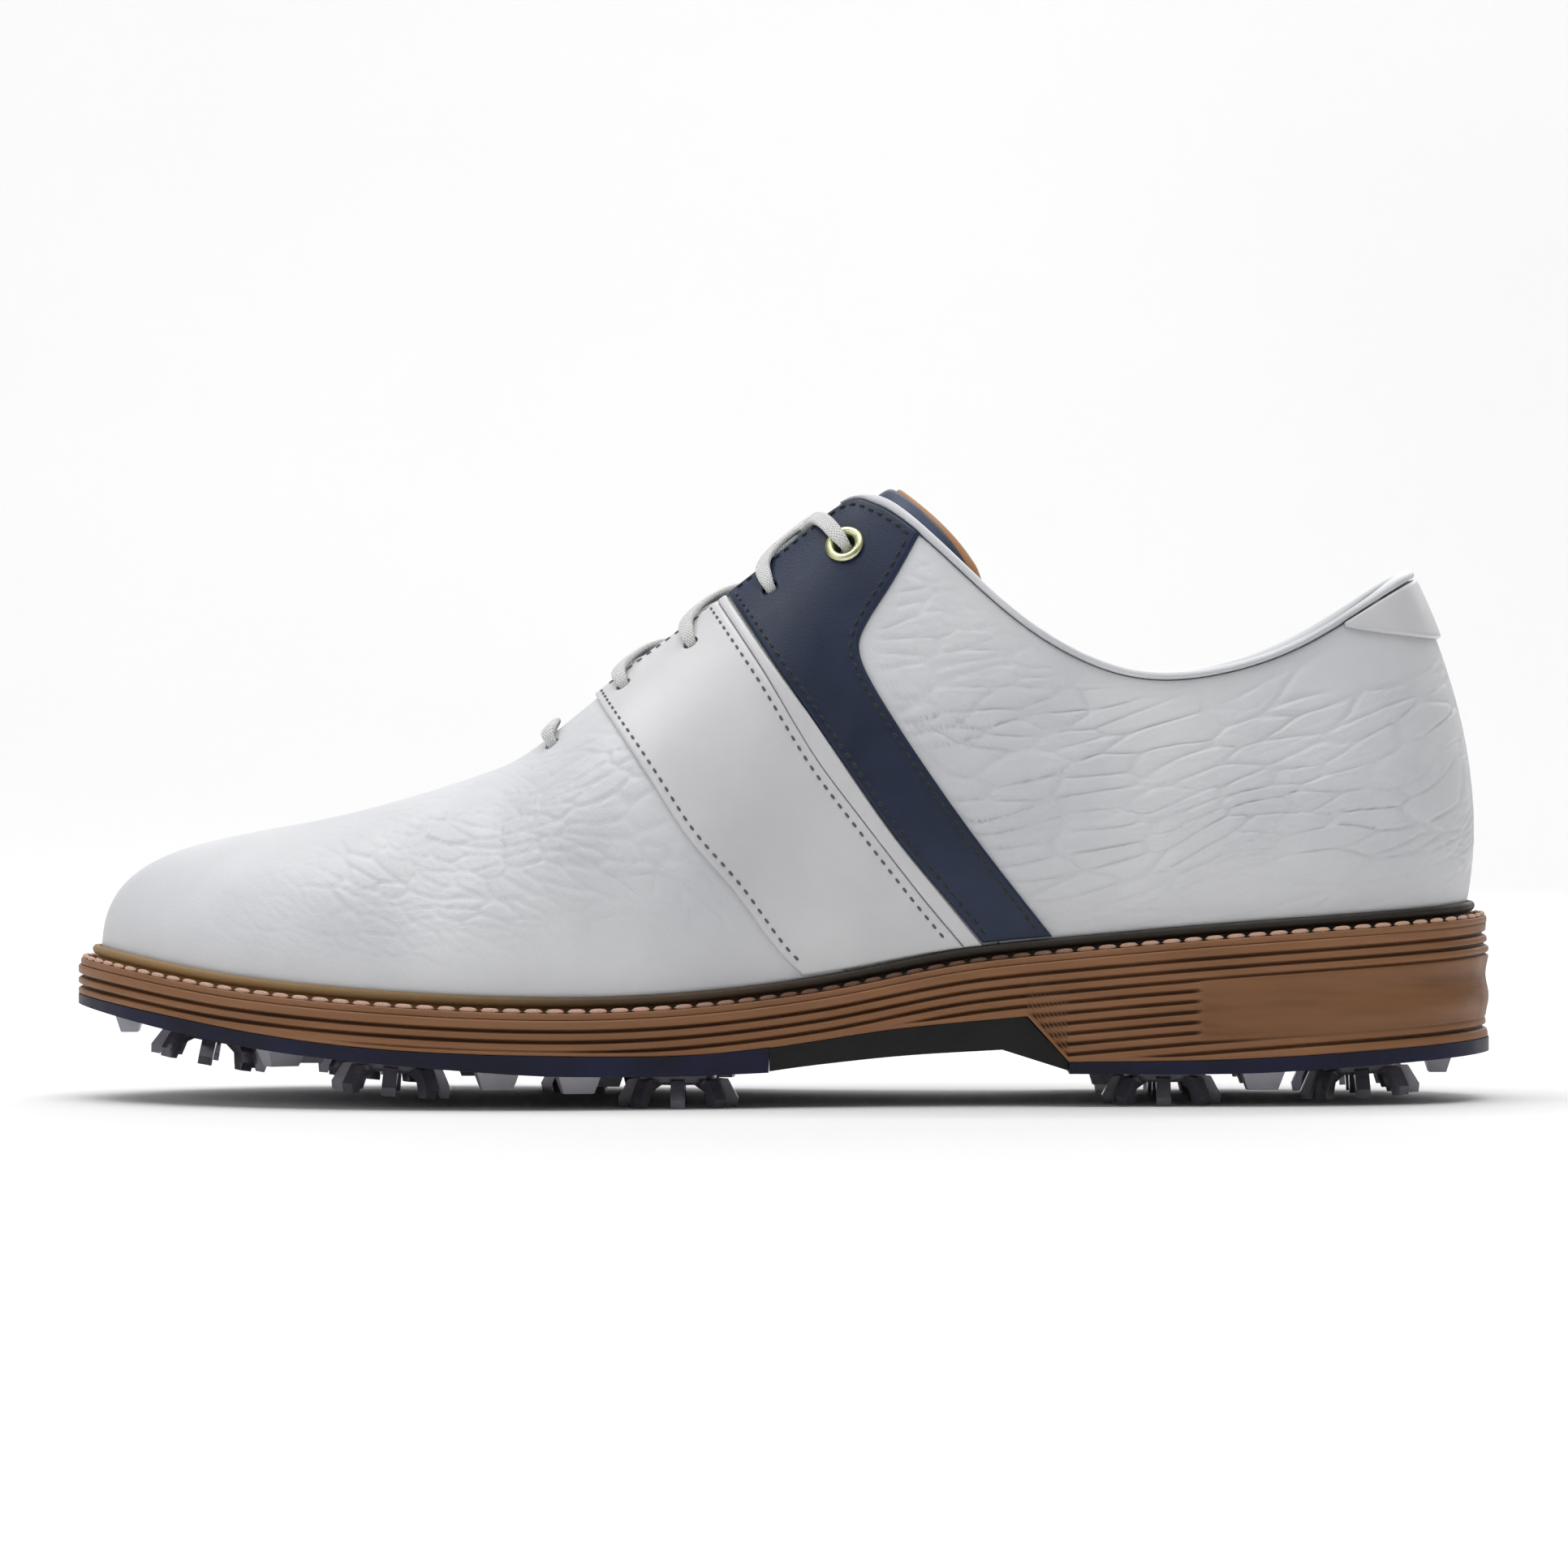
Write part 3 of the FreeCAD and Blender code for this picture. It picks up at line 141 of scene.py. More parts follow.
LOOP = 2 * TOE
UPPER_DROP = 1.1
LEATHER = 1.3
OVERLAY = 1.05
GAP = 0.05
LINING = 0.8
LINING_GAP = 0.15
COLLAR_PAD = 3.4
BINDING_SHARE = 0.9755
BINDING_TAPER = 7.35
BINDING_END = 8.1
PANEL_HEIGHT = 78.0
SEAM_LAP = 0.55
BOARD_THICK = 2.0
SOCK_THICK = 4.0


def station_rows(y_shift):
    rows = []
    for fx, lateral_y, medial_y, tx, half, tz, rise, bulge, fall, spread in STATIONS:
        fz = float(feather(fx)) - UPPER_DROP
        rows.append((fx, lateral_y + y_shift, fz, tx, y_shift - half, tz, rise, bulge, fall, spread))
    for fx, lateral_y, medial_y, tx, half, tz, rise, bulge, fall, spread in STATIONS[-2:0:-1]:
        fz = float(feather(fx)) - UPPER_DROP
        rows.append((fx, medial_y + y_shift, fz, tx, y_shift + half, tz, rise, bulge, fall, spread))
    return rows


def loop_controls(values):
    """Control values of the closed cubic B-spline that passes through the given values."""
    controls = list(values)
    for _ in range(40):
        for i in range(len(values)):
            neighbours = controls[i - 1] + controls[(i + 1) % len(values)]
            controls[i] = (6 * values[i] - neighbours) / 4
    return np.array(controls)


def loop_value(controls, u):
    u = np.asarray(u, float)
    i = np.floor(u).astype(int)
    t = u - i
    c0, c1, c2, c3 = (controls[(i + k) % len(controls)] for k in (-1, 0, 1, 2))
    weight1 = 3 * t ** 3 - 6 * t ** 2 + 4
    weight2 = -3 * t ** 3 + 3 * t ** 2 + 3 * t + 1
    return ((1 - t) ** 3 * c0 + weight1 * c1 + weight2 * c2 + t ** 3 * c3) / 6


def make_columns(y_shift):
    return [loop_controls(column) for column in zip(*station_rows(y_shift))]


columns = make_columns(0.0)
outline_y = loop_value(columns[1], np.arange(LOOP * 20) * 0.05)
columns = make_columns(-(outline_y.min() + outline_y.max()) / 2)


def unit(vectors):
    return vectors / np.maximum(np.linalg.norm(vectors, axis=-1, keepdims=True), 1e-12)


def plan_normal(x_column, y_column, u):
    """Outward direction, seen from above, of a closed line at station u."""
    step = 0.02
    dx = loop_value(x_column, u + step) - loop_value(x_column, u - step)
    dy = loop_value(y_column, u + step) - loop_value(y_column, u - step)
    return unit(np.stack([-dy, dx, np.zeros_like(dx)], -1))


def section(u):
    """The four Bezier points of the upper's section at station u."""
    u = np.asarray(u, float)
    fx, fy, fz, tx, ty, tz, rise, bulge, fall, spread = (loop_value(c, u) for c in columns)
    foot = np.stack([fx, fy, fz], -1)
    top = np.stack([tx, ty, tz], -1)
    up = np.array([0.0, 0.0, 1.0])
    out = plan_normal(columns[0], columns[1], u) * bulge[..., None]
    foot_handle = foot + out + up * rise[..., None]
    out = plan_normal(columns[3], columns[4], u) * spread[..., None]
    top_handle = top + out - up * fall[..., None]
    return foot, foot_handle, top_handle, top


def bezier(points, t):
    a, b, c, d = points
    t = np.asarray(t, float)[..., None]
    s = 1 - t
    return a * s ** 3 + b * (3 * s * s * t) + c * (3 * s * t * t) + d * t ** 3


def skin_normal(u, v):
    step_u = 0.02
    step_v = 0.004
    low = np.maximum(v - step_v, 0.0)
    high = np.minimum(v + step_v, 1.0)
    here = section(u)
    along_v = bezier(here, high) - bezier(here, low)
    along_u = bezier(section(u + step_u), v) - bezier(section(u - step_u), v)
    return unit(np.cross(along_v, along_u))


def skin(u, v, offset=0.0):
    """Points of the upper: v runs from the feather line (0) to the top edge (1)."""
    u, v, offset = np.broadcast_arrays(np.asarray(u, float), np.asarray(v, float), offset)
    return bezier(section(u), v) + skin_normal(u, v) * offset[..., None]


def on_side(side, u):
    """Stations count up the lateral side; the same place on the medial side is LOOP - u."""
    return u if side == LATERAL else LOOP - u


def other(side):
    return MEDIAL if side == LATERAL else LATERAL


def smooth(value, start, end):
    t = np.clip((np.asarray(value, float) - start) / (end - start), 0.0, 1.0)
    return t * t * (3 - 2 * t)


def heel_distance(u):
    u = np.asarray(u, float) % LOOP
    return np.minimum(u, LOOP - u)


def top_share(u):
    """Where the panels stop: below the collar binding, but at the very edge of the throat."""
    share = smooth(heel_distance(u), BINDING_TAPER, BINDING_END)
    return BINDING_SHARE + (1 - BINDING_SHARE) * share


def counter_depth(u, v):
    return 1.1 * (1 - smooth(heel_distance(u), 3.4, 4.4)) * (1 - smooth(v, 0.42, 0.50))


def puff_depth(u, v):
    reach = np.abs(np.asarray(u, float) % LOOP - TOE)
    return 0.9 * (1 - smooth(reach, 2.9, 3.5)) * (1 - smooth(v, 0.62, 0.72))


def collar_depth(u, v):
    along = 1 - smooth(heel_distance(u), 6.2, 7.2)
    return COLLAR_PAD * along * smooth(v, 0.50, 0.70) * (1 - 0.3 * smooth(v, 0.85, 0.97))


def lining_out(u, v):
    return -(LEATHER + LINING_GAP + puff_depth(u, v) + counter_depth(u, v) + collar_depth(u, v))


# ---------------------------------------------------------------- seams, drawn in side view

saddle_front = Profile([(28.1, 3.5), (33.3, -1.4), (45.5, -10.4), (56.8, -20.0), (69.8, -28.6),
                        (85.0, -39.0), (95.0, -46.0)])
saddle_rear = Profile([(34.2, 37.3), (44.6, 28.6), (60.2, 16.5), (74.1, 6.1), (91.5, -4.3),
                       (106.2, -13.9)])
band_front = Profile([(33.7, 42.5), (42.0, 35.6), (56.8, 23.4), (74.1, 11.3), (91.5, -0.9),
                      (107.1, -11.3)])
band_rear = Profile([(35.9, 56.4), (44.6, 49.5), (55.9, 40.8), (68.0, 32.1), (81.1, 23.4),
                     (91.5, 17.4), (96.7, 16.0), (101.0, 17.4), (110.6, 23.4), (122.0, 29.8)])


def seam_stations(side, seam, t):
    """Station where each panel row crosses a seam, by halving, counted from the heel."""
    t = np.asarray(t, float)
    low = np.full_like(t, 3.0)
    high = np.full_like(t, 14.5)
    for _ in range(30):
        middle = (low + high) / 2
        u = on_side(side, middle)
        point = bezier(section(u), t * top_share(u))
        ahead = point[..., 0] > seam(point[..., 2])
        low = np.where(ahead, middle, low)
        high = np.where(ahead, high, middle)
    return (low + high) / 2


def seam_line(side, seam, shift=0.0):
    """The station of a seam at each panel row, moved towards the toe by some stations."""
    return lambda t: on_side(side, seam_stations(side, seam, t) + shift)


def at_station(u):
    return lambda t: np.full_like(np.asarray(t, float), u)


# ---------------------------------------------------------------- lace holes

EYELET_PLACES = [(-33.3, 87.8), (-19.1, 96.7), (-2.3, 108.3), (13.4, 117.5)]
LOWEST_EYELET = (11.8, 0.905)
TOP_EYELET = len(EYELET_PLACES)
EYELET_HOLE = 1.8
TOP_EYELET_HOLE = 2.3
RING_ROOM = 0.35


def find_stations(side, x, z):
    """The stations and height shares of the surface points seen at (x, z) from the side."""
    u = np.full_like(x, on_side(side, 9.0))
    v = np.full_like(x, 0.8)
    step = 0.001
    for _ in range(30):
        here = skin(u, v)
        du = (skin(u + step, v) - here) / step
        dv = (skin(u, v + step) - here) / step
        det = du[..., 0] * dv[..., 2] - dv[..., 0] * du[..., 2]
        miss_x = x - here[..., 0]
        miss_z = z - here[..., 2]
        u = u + np.clip((miss_x * dv[..., 2] - dv[..., 0] * miss_z) / det, -0.5, 0.5)
        v = v + np.clip((du[..., 0] * miss_z - miss_x * du[..., 2]) / det, -0.05, 0.05)
        v = np.minimum(v, 0.97)
    return list(zip(u, v))


def facing_eyelets(side):
    x = np.array([place[0] for place in EYELET_PLACES])
    z = np.array([place[1] for place in EYELET_PLACES])
    return [(on_side(side, LOWEST_EYELET[0]), LOWEST_EYELET[1])] + find_stations(side, x, z)


EYELETS = {side: facing_eyelets(side) for side in SIDES}


def eyelet_point(side, number, offset):
    u, v = EYELETS[side][number]
    return skin(u, v, offset)


# ---------------------------------------------------------------- the lace's two free ends

LACE_ROUND = 2.4
LACE_IN = 3.9
LACE_UNDER_RING = 4.3
AGLET_LIFT = 1.3
BOARD_TOP = -UPPER_DROP - GAP + BOARD_THICK
SOCK_LOW = BOARD_TOP + GAP
FOOTBED = -UPPER_DROP + BOARD_THICK + SOCK_THICK

# The free ends hang down inside the quarters and lie along the sockliner towards the toe. The
# wall points are station, height share and depth, the footbed points are x and y.
TAIL_WALL = [(7.8, 0.64, 4.3), (7.6, 0.50, 5.4), (7.3, 0.36, 6.8), (7.35, 0.23, 8.6)]
TAIL_FLOOR = {
    LATERAL: [(2.0, -26.0), (-18.0, -30.0), (-40.0, -34.0), (-63.0, -28.0), (-86.0, -32.0),
              (-107.0, -23.0), (-122.0, -8.0)],
    MEDIAL: [(1.0, 27.0), (-19.0, 31.0), (-41.0, 29.0), (-64.0, 34.0), (-87.0, 29.0),
             (-109.0, 32.0), (-125.0, 21.0)],
}


def tail_start(side):
    u, v = EYELETS[side][TOP_EYELET]
    return [skin(u, v, -LACE_UNDER_RING), skin(u, v - 0.09, -LACE_IN)]


def tail_route(side):
    wall = [skin(on_side(side, u), v, -depth) for u, v, depth in TAIL_WALL]
    rest = LACE_ROUND / 2 + 0.25
    floor = [np.array([x, y, feather(x) + FOOTBED + rest]) for x, y in TAIL_FLOOR[side]]
    floor[-1] = floor[-1] + np.array([0.0, 0.0, AGLET_LIFT])
    return [tail_start(side)[-1]] + wall + floor


def finished(piece, look, replaces=(), body=SHOE):
    """Gives a piece its material, the body it rides on and the CAD nodes it stands for."""
    if piece.name not in bpy.context.scene.collection.objects:
        link(piece)
    piece.data.materials.clear()
    piece.data.materials.append(LOOKS[look])
    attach(piece, body)
    if replaces:
        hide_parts(*replaces)
    return piece


# ---------------------------------------------------------------- materials


class Look:
    """A Principled material with procedural textures in object coordinates."""

    def __init__(self, name, roughness=0.5, **sockets):
        self.material = bpy.data.materials.new(name)
        self.material.use_nodes = True
        self.tree = self.material.node_tree
        self.shader = self.tree.nodes["Principled BSDF"]
        self.shader.inputs["Roughness"].default_value = roughness
        for socket, value in sockets.items():
            self.shader.inputs[socket.replace("_", " ")].default_value = value
        coordinates = self.tree.nodes.new("ShaderNodeTexCoord")
        self.place = coordinates.outputs["Object"]
        self.along = coordinates.outputs["UV"]
        self.height = None

    def node(self, kind, **settings):
        made = self.tree.nodes.new(kind)
        for name, value in settings.items():
            if name in made.inputs:
                made.inputs[name].default_value = value
            else:
                setattr(made, name, value)
        return made

    def join(self, source, target):
        self.tree.links.new(source, target)

    def stretched(self, scale, turn=(0.0, 0.0, 0.0), source=None):
        mapping = self.node("ShaderNodeMapping", Scale=scale, Rotation=turn)
        self.join(source or self.place, mapping.inputs["Vector"])
        return mapping.outputs["Vector"]

    def noise(self, scale, detail=3.0, rough=0.5, source=None):
        made = self.node("ShaderNodeTexNoise", Scale=scale, Detail=detail, Roughness=rough)
        self.join(source or self.place, made.inputs["Vector"])
        return made.outputs["Fac"]

    def cells(self, scale, source=None, feature="DISTANCE_TO_EDGE"):
        made = self.node("ShaderNodeTexVoronoi", feature=feature, Scale=scale)
        self.join(source or self.place, made.inputs["Vector"])
        return made.outputs["Distance"]

    def bands(self, scale, source=None, distort=0.0, direction="X"):
        made = self.node("ShaderNodeTexWave", Scale=scale, Distortion=distort,
                         bands_direction=direction)
        self.join(source or self.place, made.inputs["Vector"])
        return made.outputs["Fac"]

    def ramp(self, source, stops):
        made = self.node("ShaderNodeValToRGB")
        points = made.color_ramp.elements
        while len(points) < len(stops):
            points.new(0.5)
        for point, (at, colour) in zip(points, stops):
            point.position = at
            point.color = (*colour, 1.0) if len(colour) == 3 else colour
        self.join(source, made.inputs["Fac"])
        return made.outputs["Color"]

    def ranged(self, source, *limits):
        """The source rescaled; the limits are its lowest and highest value, then the result's."""
        scaled = self.node("ShaderNodeMapRange")
        for socket, value in zip(("From Min", "From Max", "To Min", "To Max"), limits):
            scaled.inputs[socket].default_value = value
        self.join(source, scaled.inputs["Value"])
        return scaled.outputs["Result"]

    def axis(self, which, low, high):
        """0 to 1 along one axis of the object, between two places in metres."""
        split = self.node("ShaderNodeSeparateXYZ")
        self.join(self.place, split.inputs[0])
        return self.ranged(split.outputs[which], low, high)

    def math(self, operation, first, second):
        made = self.node("ShaderNodeMath", operation=operation)
        for slot, value in enumerate((first, second)):
            if isinstance(value, (int, float)):
                made.inputs[slot].default_value = value
            else:
                self.join(value, made.inputs[slot])
        return made.outputs[0]

    def colour(self, source, stops):
        self.join(self.ramp(source, stops), self.shader.inputs["Base Color"])

    def shine(self, source, low, high):
        """Roughness from low to high as the source goes from 0.3 to 0.7."""
        self.join(self.ranged(source, 0.3, 0.7, low, high), self.shader.inputs["Roughness"])

    def bump(self, source, depth):
        """Relief of some metres, laid over any relief added before it."""
        made = self.node("ShaderNodeBump", Distance=depth)
        self.join(source, made.inputs["Height"])
        if self.height is not None:
            self.join(self.height, made.inputs["Normal"])
        self.height = made.outputs["Normal"]
        self.join(self.height, self.shader.inputs["Normal"])


def tone(hex_colour):
    """Linear colour of an sRGB hex string."""
    parts = [int(hex_colour[i:i + 2], 16) / 255 for i in (0, 2, 4)]
    linear = [((c + 0.055) / 1.055) ** 2.4 if c > 0.04045 else c / 12.92 for c in parts]
    return tuple(min(c, 1.0) for c in linear)


def grain_leather(name, dark, light, roughness, grain, depth, sheen=0.0):
    look = Look(name, roughness)
    look.shader.inputs["Coat Weight"].default_value = sheen
    look.shader.inputs["Coat Roughness"].default_value = 0.28
    look.shader.inputs["Specular IOR Level"].default_value = 0.42
    cloud = look.noise(22.0, 4.0)
    look.colour(cloud, [(0.35, tone(dark)), (0.65, tone(light))])
    look.shine(look.noise(160.0, 3.0), roughness - 0.06, roughness + 0.08)
    look.bump(look.cells(grain), depth)
    look.bump(look.noise(grain * 2.2, 4.0), depth * 0.5)
    return look.material


def plain_plastic(name, dark, light, roughness, fine, depth, **sockets):
    look = Look(name, roughness, **sockets)
    look.colour(look.noise(60.0, 4.0), [(0.35, tone(dark)), (0.65, tone(light))])
    look.shine(look.noise(240.0, 3.0), roughness - 0.05, roughness + 0.07)
    look.bump(look.noise(fine, 5.0), depth)
    return look.material


def woven(name, dark, light, pitch, depth, turn=0.0):
    """A plain weave: two sets of threads at right angles, pitch threads to the metre."""
    look = Look(name, 0.85)
    look.shader.inputs["Sheen Weight"].default_value = 0.3
    look.shader.inputs["Sheen Roughness"].default_value = 0.5
    flat = look.stretched((1.0, 1.0, 1.0), (0.0, turn, 0.0))
    warp = look.bands(pitch, flat, 0.4, "X")
    weft = look.bands(pitch, flat, 0.4, "Z")
    thread = look.math("MULTIPLY", warp, weft)
    fuzz = look.noise(900.0, 3.0)
    mixed = look.math("ADD", look.math("MULTIPLY", thread, 0.5), look.math("MULTIPLY", fuzz, 0.5))
    look.colour(mixed, [(0.2, tone(dark)), (0.75, tone(light))])
    look.bump(thread, depth)
    look.bump(fuzz, depth * 0.6)
    return look.material


def thread_look(name, dark, light):
    look = Look(name, 0.7)
    look.shader.inputs["Sheen Weight"].default_value = 0.25
    twist = look.bands(900.0, look.stretched((1.0, 1.0, 1.0), (0.0, 0.7, 0.4)), 0.6)
    look.colour(twist, [(0.1, tone(dark)), (0.9, tone(light))])
    look.bump(twist, 0.00008)
    return look.material


def lace_look():
    look = Look("lace_cotton", 0.78)
    look.shader.inputs["Sheen Weight"].default_value = 0.35
    look.shader.inputs["Sheen Roughness"].default_value = 0.45
    left = look.bands(5.2, look.stretched((1.0, 1.0, 1.0), (0.0, 0.0, 0.72), look.along))
    right = look.bands(5.2, look.stretched((1.0, 1.0, 1.0), (0.0, 0.0, -0.72), look.along))
    braid = look.math("MAXIMUM", left, right)
    look.colour(braid, [(0.25, tone("c9cacb")), (0.8, tone("f4f4f2"))])
    look.bump(braid, 0.00022)
    look.bump(look.noise(1600.0, 3.0), 0.00005)
    return look.material


def tail_look():
    look = Look("lace_cotton_end", 0.78)
    look.shader.inputs["Sheen Weight"].default_value = 0.35
    braid = look.cells(900.0, look.stretched((1.0, 1.0, 1.0)))
    look.colour(braid, [(0.0, tone("c9cacb")), (0.3, tone("f4f4f2"))])
    look.bump(braid, 0.0002)
    return look.material


def welt_look():
    """Tan round the toe, darker brown from the ball back to the heel."""
    look = Look("welt_leather", 0.58)
    toe_to_heel = look.axis("X", -0.150, 0.145)
    broken = look.math("ADD", toe_to_heel, look.math("MULTIPLY", look.noise(70.0, 4.0), 0.10))
    look.colour(broken, [(0.06, tone("97794e")), (0.30, tone("7c6038")), (0.46, tone("4b3820")),
                         (0.62, tone("261e13")), (1.0, tone("1f1910"))])
    look.shine(look.noise(300.0, 3.0), 0.50, 0.64)
    look.bump(look.noise(1400.0, 4.0), 0.00006)
    return look.material


def welt_thread_look():
    """Pale waxed thread, darkened along the waist with painted shade."""
    look = Look("welt_thread", 0.6)
    place = look.axis("X", -0.150, 0.150)
    # The dark stops along the waist are painted shade.
    look.colour(place, [(0.40, tone("cfa893")), (0.50, tone("6b4a36")), (0.66, tone("5c3e2c")),
                        (0.76, tone("cba48c"))])
    look.bump(look.bands(700.0, look.stretched((1.0, 1.0, 1.0), (0.0, 0.8, 0.5)), 0.5), 0.0001)
    return look.material


def midsole_look():
    """Brown rubber with random streaks, dark down in its grooves with painted shade, so its ridges
    read paler.
    """
    look = Look("midsole_rubber", 0.5)
    streak = look.noise(1.0, 4.0, 0.5, look.stretched((30.0, 30.0, 300.0)))
    # Painted shade: the groove attribute darkens the colour down in the grooves, and also gives the
    # heel panel its darker tone.
    groove_shade_and_panel_tone = look.node("ShaderNodeAttribute", attribute_name="groove")
    base = look.math("ADD", look.math("MULTIPLY", streak, 0.5), 0.25)
    shade = look.math("SUBTRACT", base, look.math("MULTIPLY", groove_shade_and_panel_tone.outputs["Fac"], 0.45))
    # The darkest stops are the painted shade down in the grooves.
    look.colour(shade, [(0.0, tone("3a2414")), (0.22, tone("5c3c22")), (0.36, tone("7d5433")),
                        (0.62, tone("926645"))])
    look.shader.inputs["Specular IOR Level"].default_value = 0.4
    look.shine(look.noise(200.0, 3.0), 0.42, 0.56)
    look.bump(streak, 0.00003)
    look.bump(look.noise(2200.0, 3.0), 0.00003)
    return look.material


def brushed_metal(name, dark, light, roughness):
    look = Look(name, roughness, Metallic=1.0)
    look.colour(look.noise(180.0, 4.0), [(0.3, tone(dark)), (0.7, tone(light))])
    look.shine(look.noise(900.0, 3.0), roughness - 0.05, roughness + 0.10)
    look.bump(look.noise(2600.0, 3.0), 0.00002)
    return look.material


def clear_plastic(name, dark, light):
    look = Look(name, 0.2, Transmission_Weight=0.55, IOR=1.46)
    look.colour(look.noise(50.0, 2.0), [(0.35, tone(dark)), (0.65, tone(light))])
    look.shine(look.noise(300.0, 3.0), 0.14, 0.24)
    look.bump(look.noise(500.0, 2.0), 0.00001)
    return look.material


def foam_look(name, dark, light):
    look = Look(name, 0.9)
    pores = look.cells(1500.0, feature="F1")
    look.colour(pores, [(0.1, tone(dark)), (0.6, tone(light))])
    look.bump(pores, 0.00015)
    return look.material


# Leathers: darkest and lightest colour, roughness, grain cells to the metre, their depth in
# metres, and the strength of a clear coat where there is one.
LEATHERS = {
    "white_leather": ("cfd0d4", "dfe0e3", 0.42, 1050.0, 0.00006),
    "saddle_leather": ("cccccf", "dcdcde", 0.34, 1700.0, 0.00002, 0.15),
    "navy_leather": ("172136", "1f2e4a", 0.46, 1300.0, 0.00005),
    "collar_piping": ("c6c8cc", "dcdde0", 0.40, 1500.0, 0.00003, 0.1),
    "tongue_leather": ("1b2740", "263957", 0.48, 1300.0, 0.00006),
    "tan_lining": ("94643f", "b98a62", 0.55, 1200.0, 0.00005),
}
# Plastics and board: darkest and lightest colour, roughness, relief to the metre and its depth.
PLASTICS = {
    "stiffener": ("b9b2a2", "d2ccbd", 0.7, 900.0, 0.00008),
    "board": ("a4896a", "bfa684", 0.8, 800.0, 0.0001),
    "outsole_navy": ("0d0e22", "16183a", 0.46, 1200.0, 0.00004),
    "bridge_black": ("07080a", "101114", 0.42, 1000.0, 0.00005),
    "lug_grey": ("bcbac6", "dad9e0", 0.34, 1100.0, 0.00004),
    "socket_plastic": ("26272b", "3a3c42", 0.45, 900.0, 0.00005),
}
PLASTIC_SOCKETS = {
    "outsole_navy": {"Specular_IOR_Level": 0.3},
    "bridge_black": {"Specular_IOR_Level": 0.35},
    "lug_grey": {"Transmission_Weight": 0.15},
}
# Textiles: darkest and lightest colour, threads to the metre, their depth, and the weave's turn.
TEXTILES = {
    "lining_textile": ("8f9298", "c9cbcf", 380.0, 0.00020),
    "backing_fabric": ("b4b1aa", "dad8d2", 420.0, 0.00012),
    "sock_foam": ("6f747c", "a4a9b1", 520.0, 0.00015, 0.6),
}
LOOKS = {
    "foam": foam_look("foam", "c4bfae", "e4e0d2"),
    "cork": foam_look("cork", "7d5a3a", "b48b5f"),
    "pale_brass": brushed_metal("pale_brass", "c3c793", "e2e5bf", 0.30),
    "steel": brushed_metal("steel", "7d8083", "a5a8ab", 0.35),
    "lace_cotton": lace_look(),
    "lace_end": tail_look(),
    "aglet_film": clear_plastic("aglet_film", "d9dbdc", "f2f3f3"),
    "cleat_clear": clear_plastic("cleat_clear", "6b6873", "93909b"),
    "welt": welt_look(),
    "thread": thread_look("saddle_thread", "3f4348", "6a6f76"),
    "navy_thread": thread_look("navy_thread", "07090f", "10151f"),
    "welt_thread": welt_thread_look(),
    "midsole_rubber": midsole_look(),
}
for name, values in LEATHERS.items():
    LOOKS[name] = grain_leather(name, *values)
for name, values in PLASTICS.items():
    LOOKS[name] = plain_plastic(name, *values, **PLASTIC_SOCKETS.get(name, {}))
for name, values in TEXTILES.items():
    LOOKS[name] = woven(name, *values)


# ---------------------------------------------------------------- cords, before the rest


def make_tail(side):
    route = [tuple(point * MM) for point in tail_route(side)]
    curve = bpy.data.curves.new("lace_end_" + side, "CURVE")
    curve.dimensions = "3D"
    spline = curve.splines.new("NURBS")
    spline.points.add(len(route) - 1)
    for point, place in zip(spline.points, route):
        point.co = (*place, 1.0)
    spline.order_u = 3
    spline.use_endpoint_u = True
    spline.resolution_u = 10
    curve.bevel_depth = LACE_ROUND * MM / 2
    curve.bevel_resolution = 5
    curve.use_fill_caps = True
    tail = bpy.data.objects.new("lace_end_" + side, curve)
    finished(tail, "lace_end", ["lace_tail_" + side])


for side in SIDES:
    make_tail(side)

# ---------------------------------------------------------------- mesh making


def quads(grid):
    corners = [grid[:-1, :-1], grid[:-1, 1:], grid[1:, 1:], grid[1:, :-1]]
    return np.stack(corners, -1).reshape(-1, 4)


def facing_out(points, faces):
    """Turns the faces of a closed mesh outwards, by the sign of its volume."""
    a, b, c, d = (points[faces[:, k]] for k in range(4))
    volume = np.einsum("ij,ij->", a, np.cross(b, c)) + np.einsum("ij,ij->", a, np.cross(c, d))
    return faces if volume > 0 else faces[:, ::-1]


def mesh_piece(name, points, faces, merge=False, uv=None, marks=None):
    """Makes a closed mesh. uv and marks are given for each point; marks is how deep it lies in a
    groove, from 0 to 1, and the material reads it to paint shade down in the grooves and the heel
    panel's darker tone."""
    faces = facing_out(points, faces)
    mesh = bpy.data.meshes.new(name)
    mesh.from_pydata((points * MM).tolist(), [], faces.tolist())
    if uv is not None:
        layer = mesh.uv_layers.new(name="UVMap")
        corners = np.empty(len(mesh.loops), dtype=int)
        mesh.loops.foreach_get("vertex_index", corners)
        layer.data.foreach_set("uv", uv[corners].ravel())
    if marks is not None:
        mesh.attributes.new("groove", "FLOAT", "POINT").data.foreach_set("value", marks.ravel())
    if merge:
        work = bmesh.new()
        work.from_mesh(mesh)
        bmesh.ops.remove_doubles(work, verts=work.verts, dist=1e-6)
        bmesh.ops.dissolve_degenerate(work, edges=work.edges, dist=1e-7)
        work.to_mesh(mesh)
        work.free()
    mesh.shade_smooth()
    return bpy.data.objects.new(name, mesh)


def shell_piece(name, outer, inner):
    """A closed sheet between two grids of points."""
    rows, cols = outer.shape[:2]
    top = np.arange(rows * cols).reshape(rows, cols)
    low = top + rows * cols
    rim = np.concatenate([top[0, :], top[1:, -1], top[-1, -2::-1], top[-2:0:-1, 0]])
    after = np.roll(rim, -1)
    sides = np.stack([after, rim, rim + rows * cols, after + rows * cols], -1)
    faces = np.concatenate([quads(top), quads(low)[:, ::-1], sides])
    return mesh_piece(name, np.concatenate([outer.reshape(-1, 3), inner.reshape(-1, 3)]), faces)


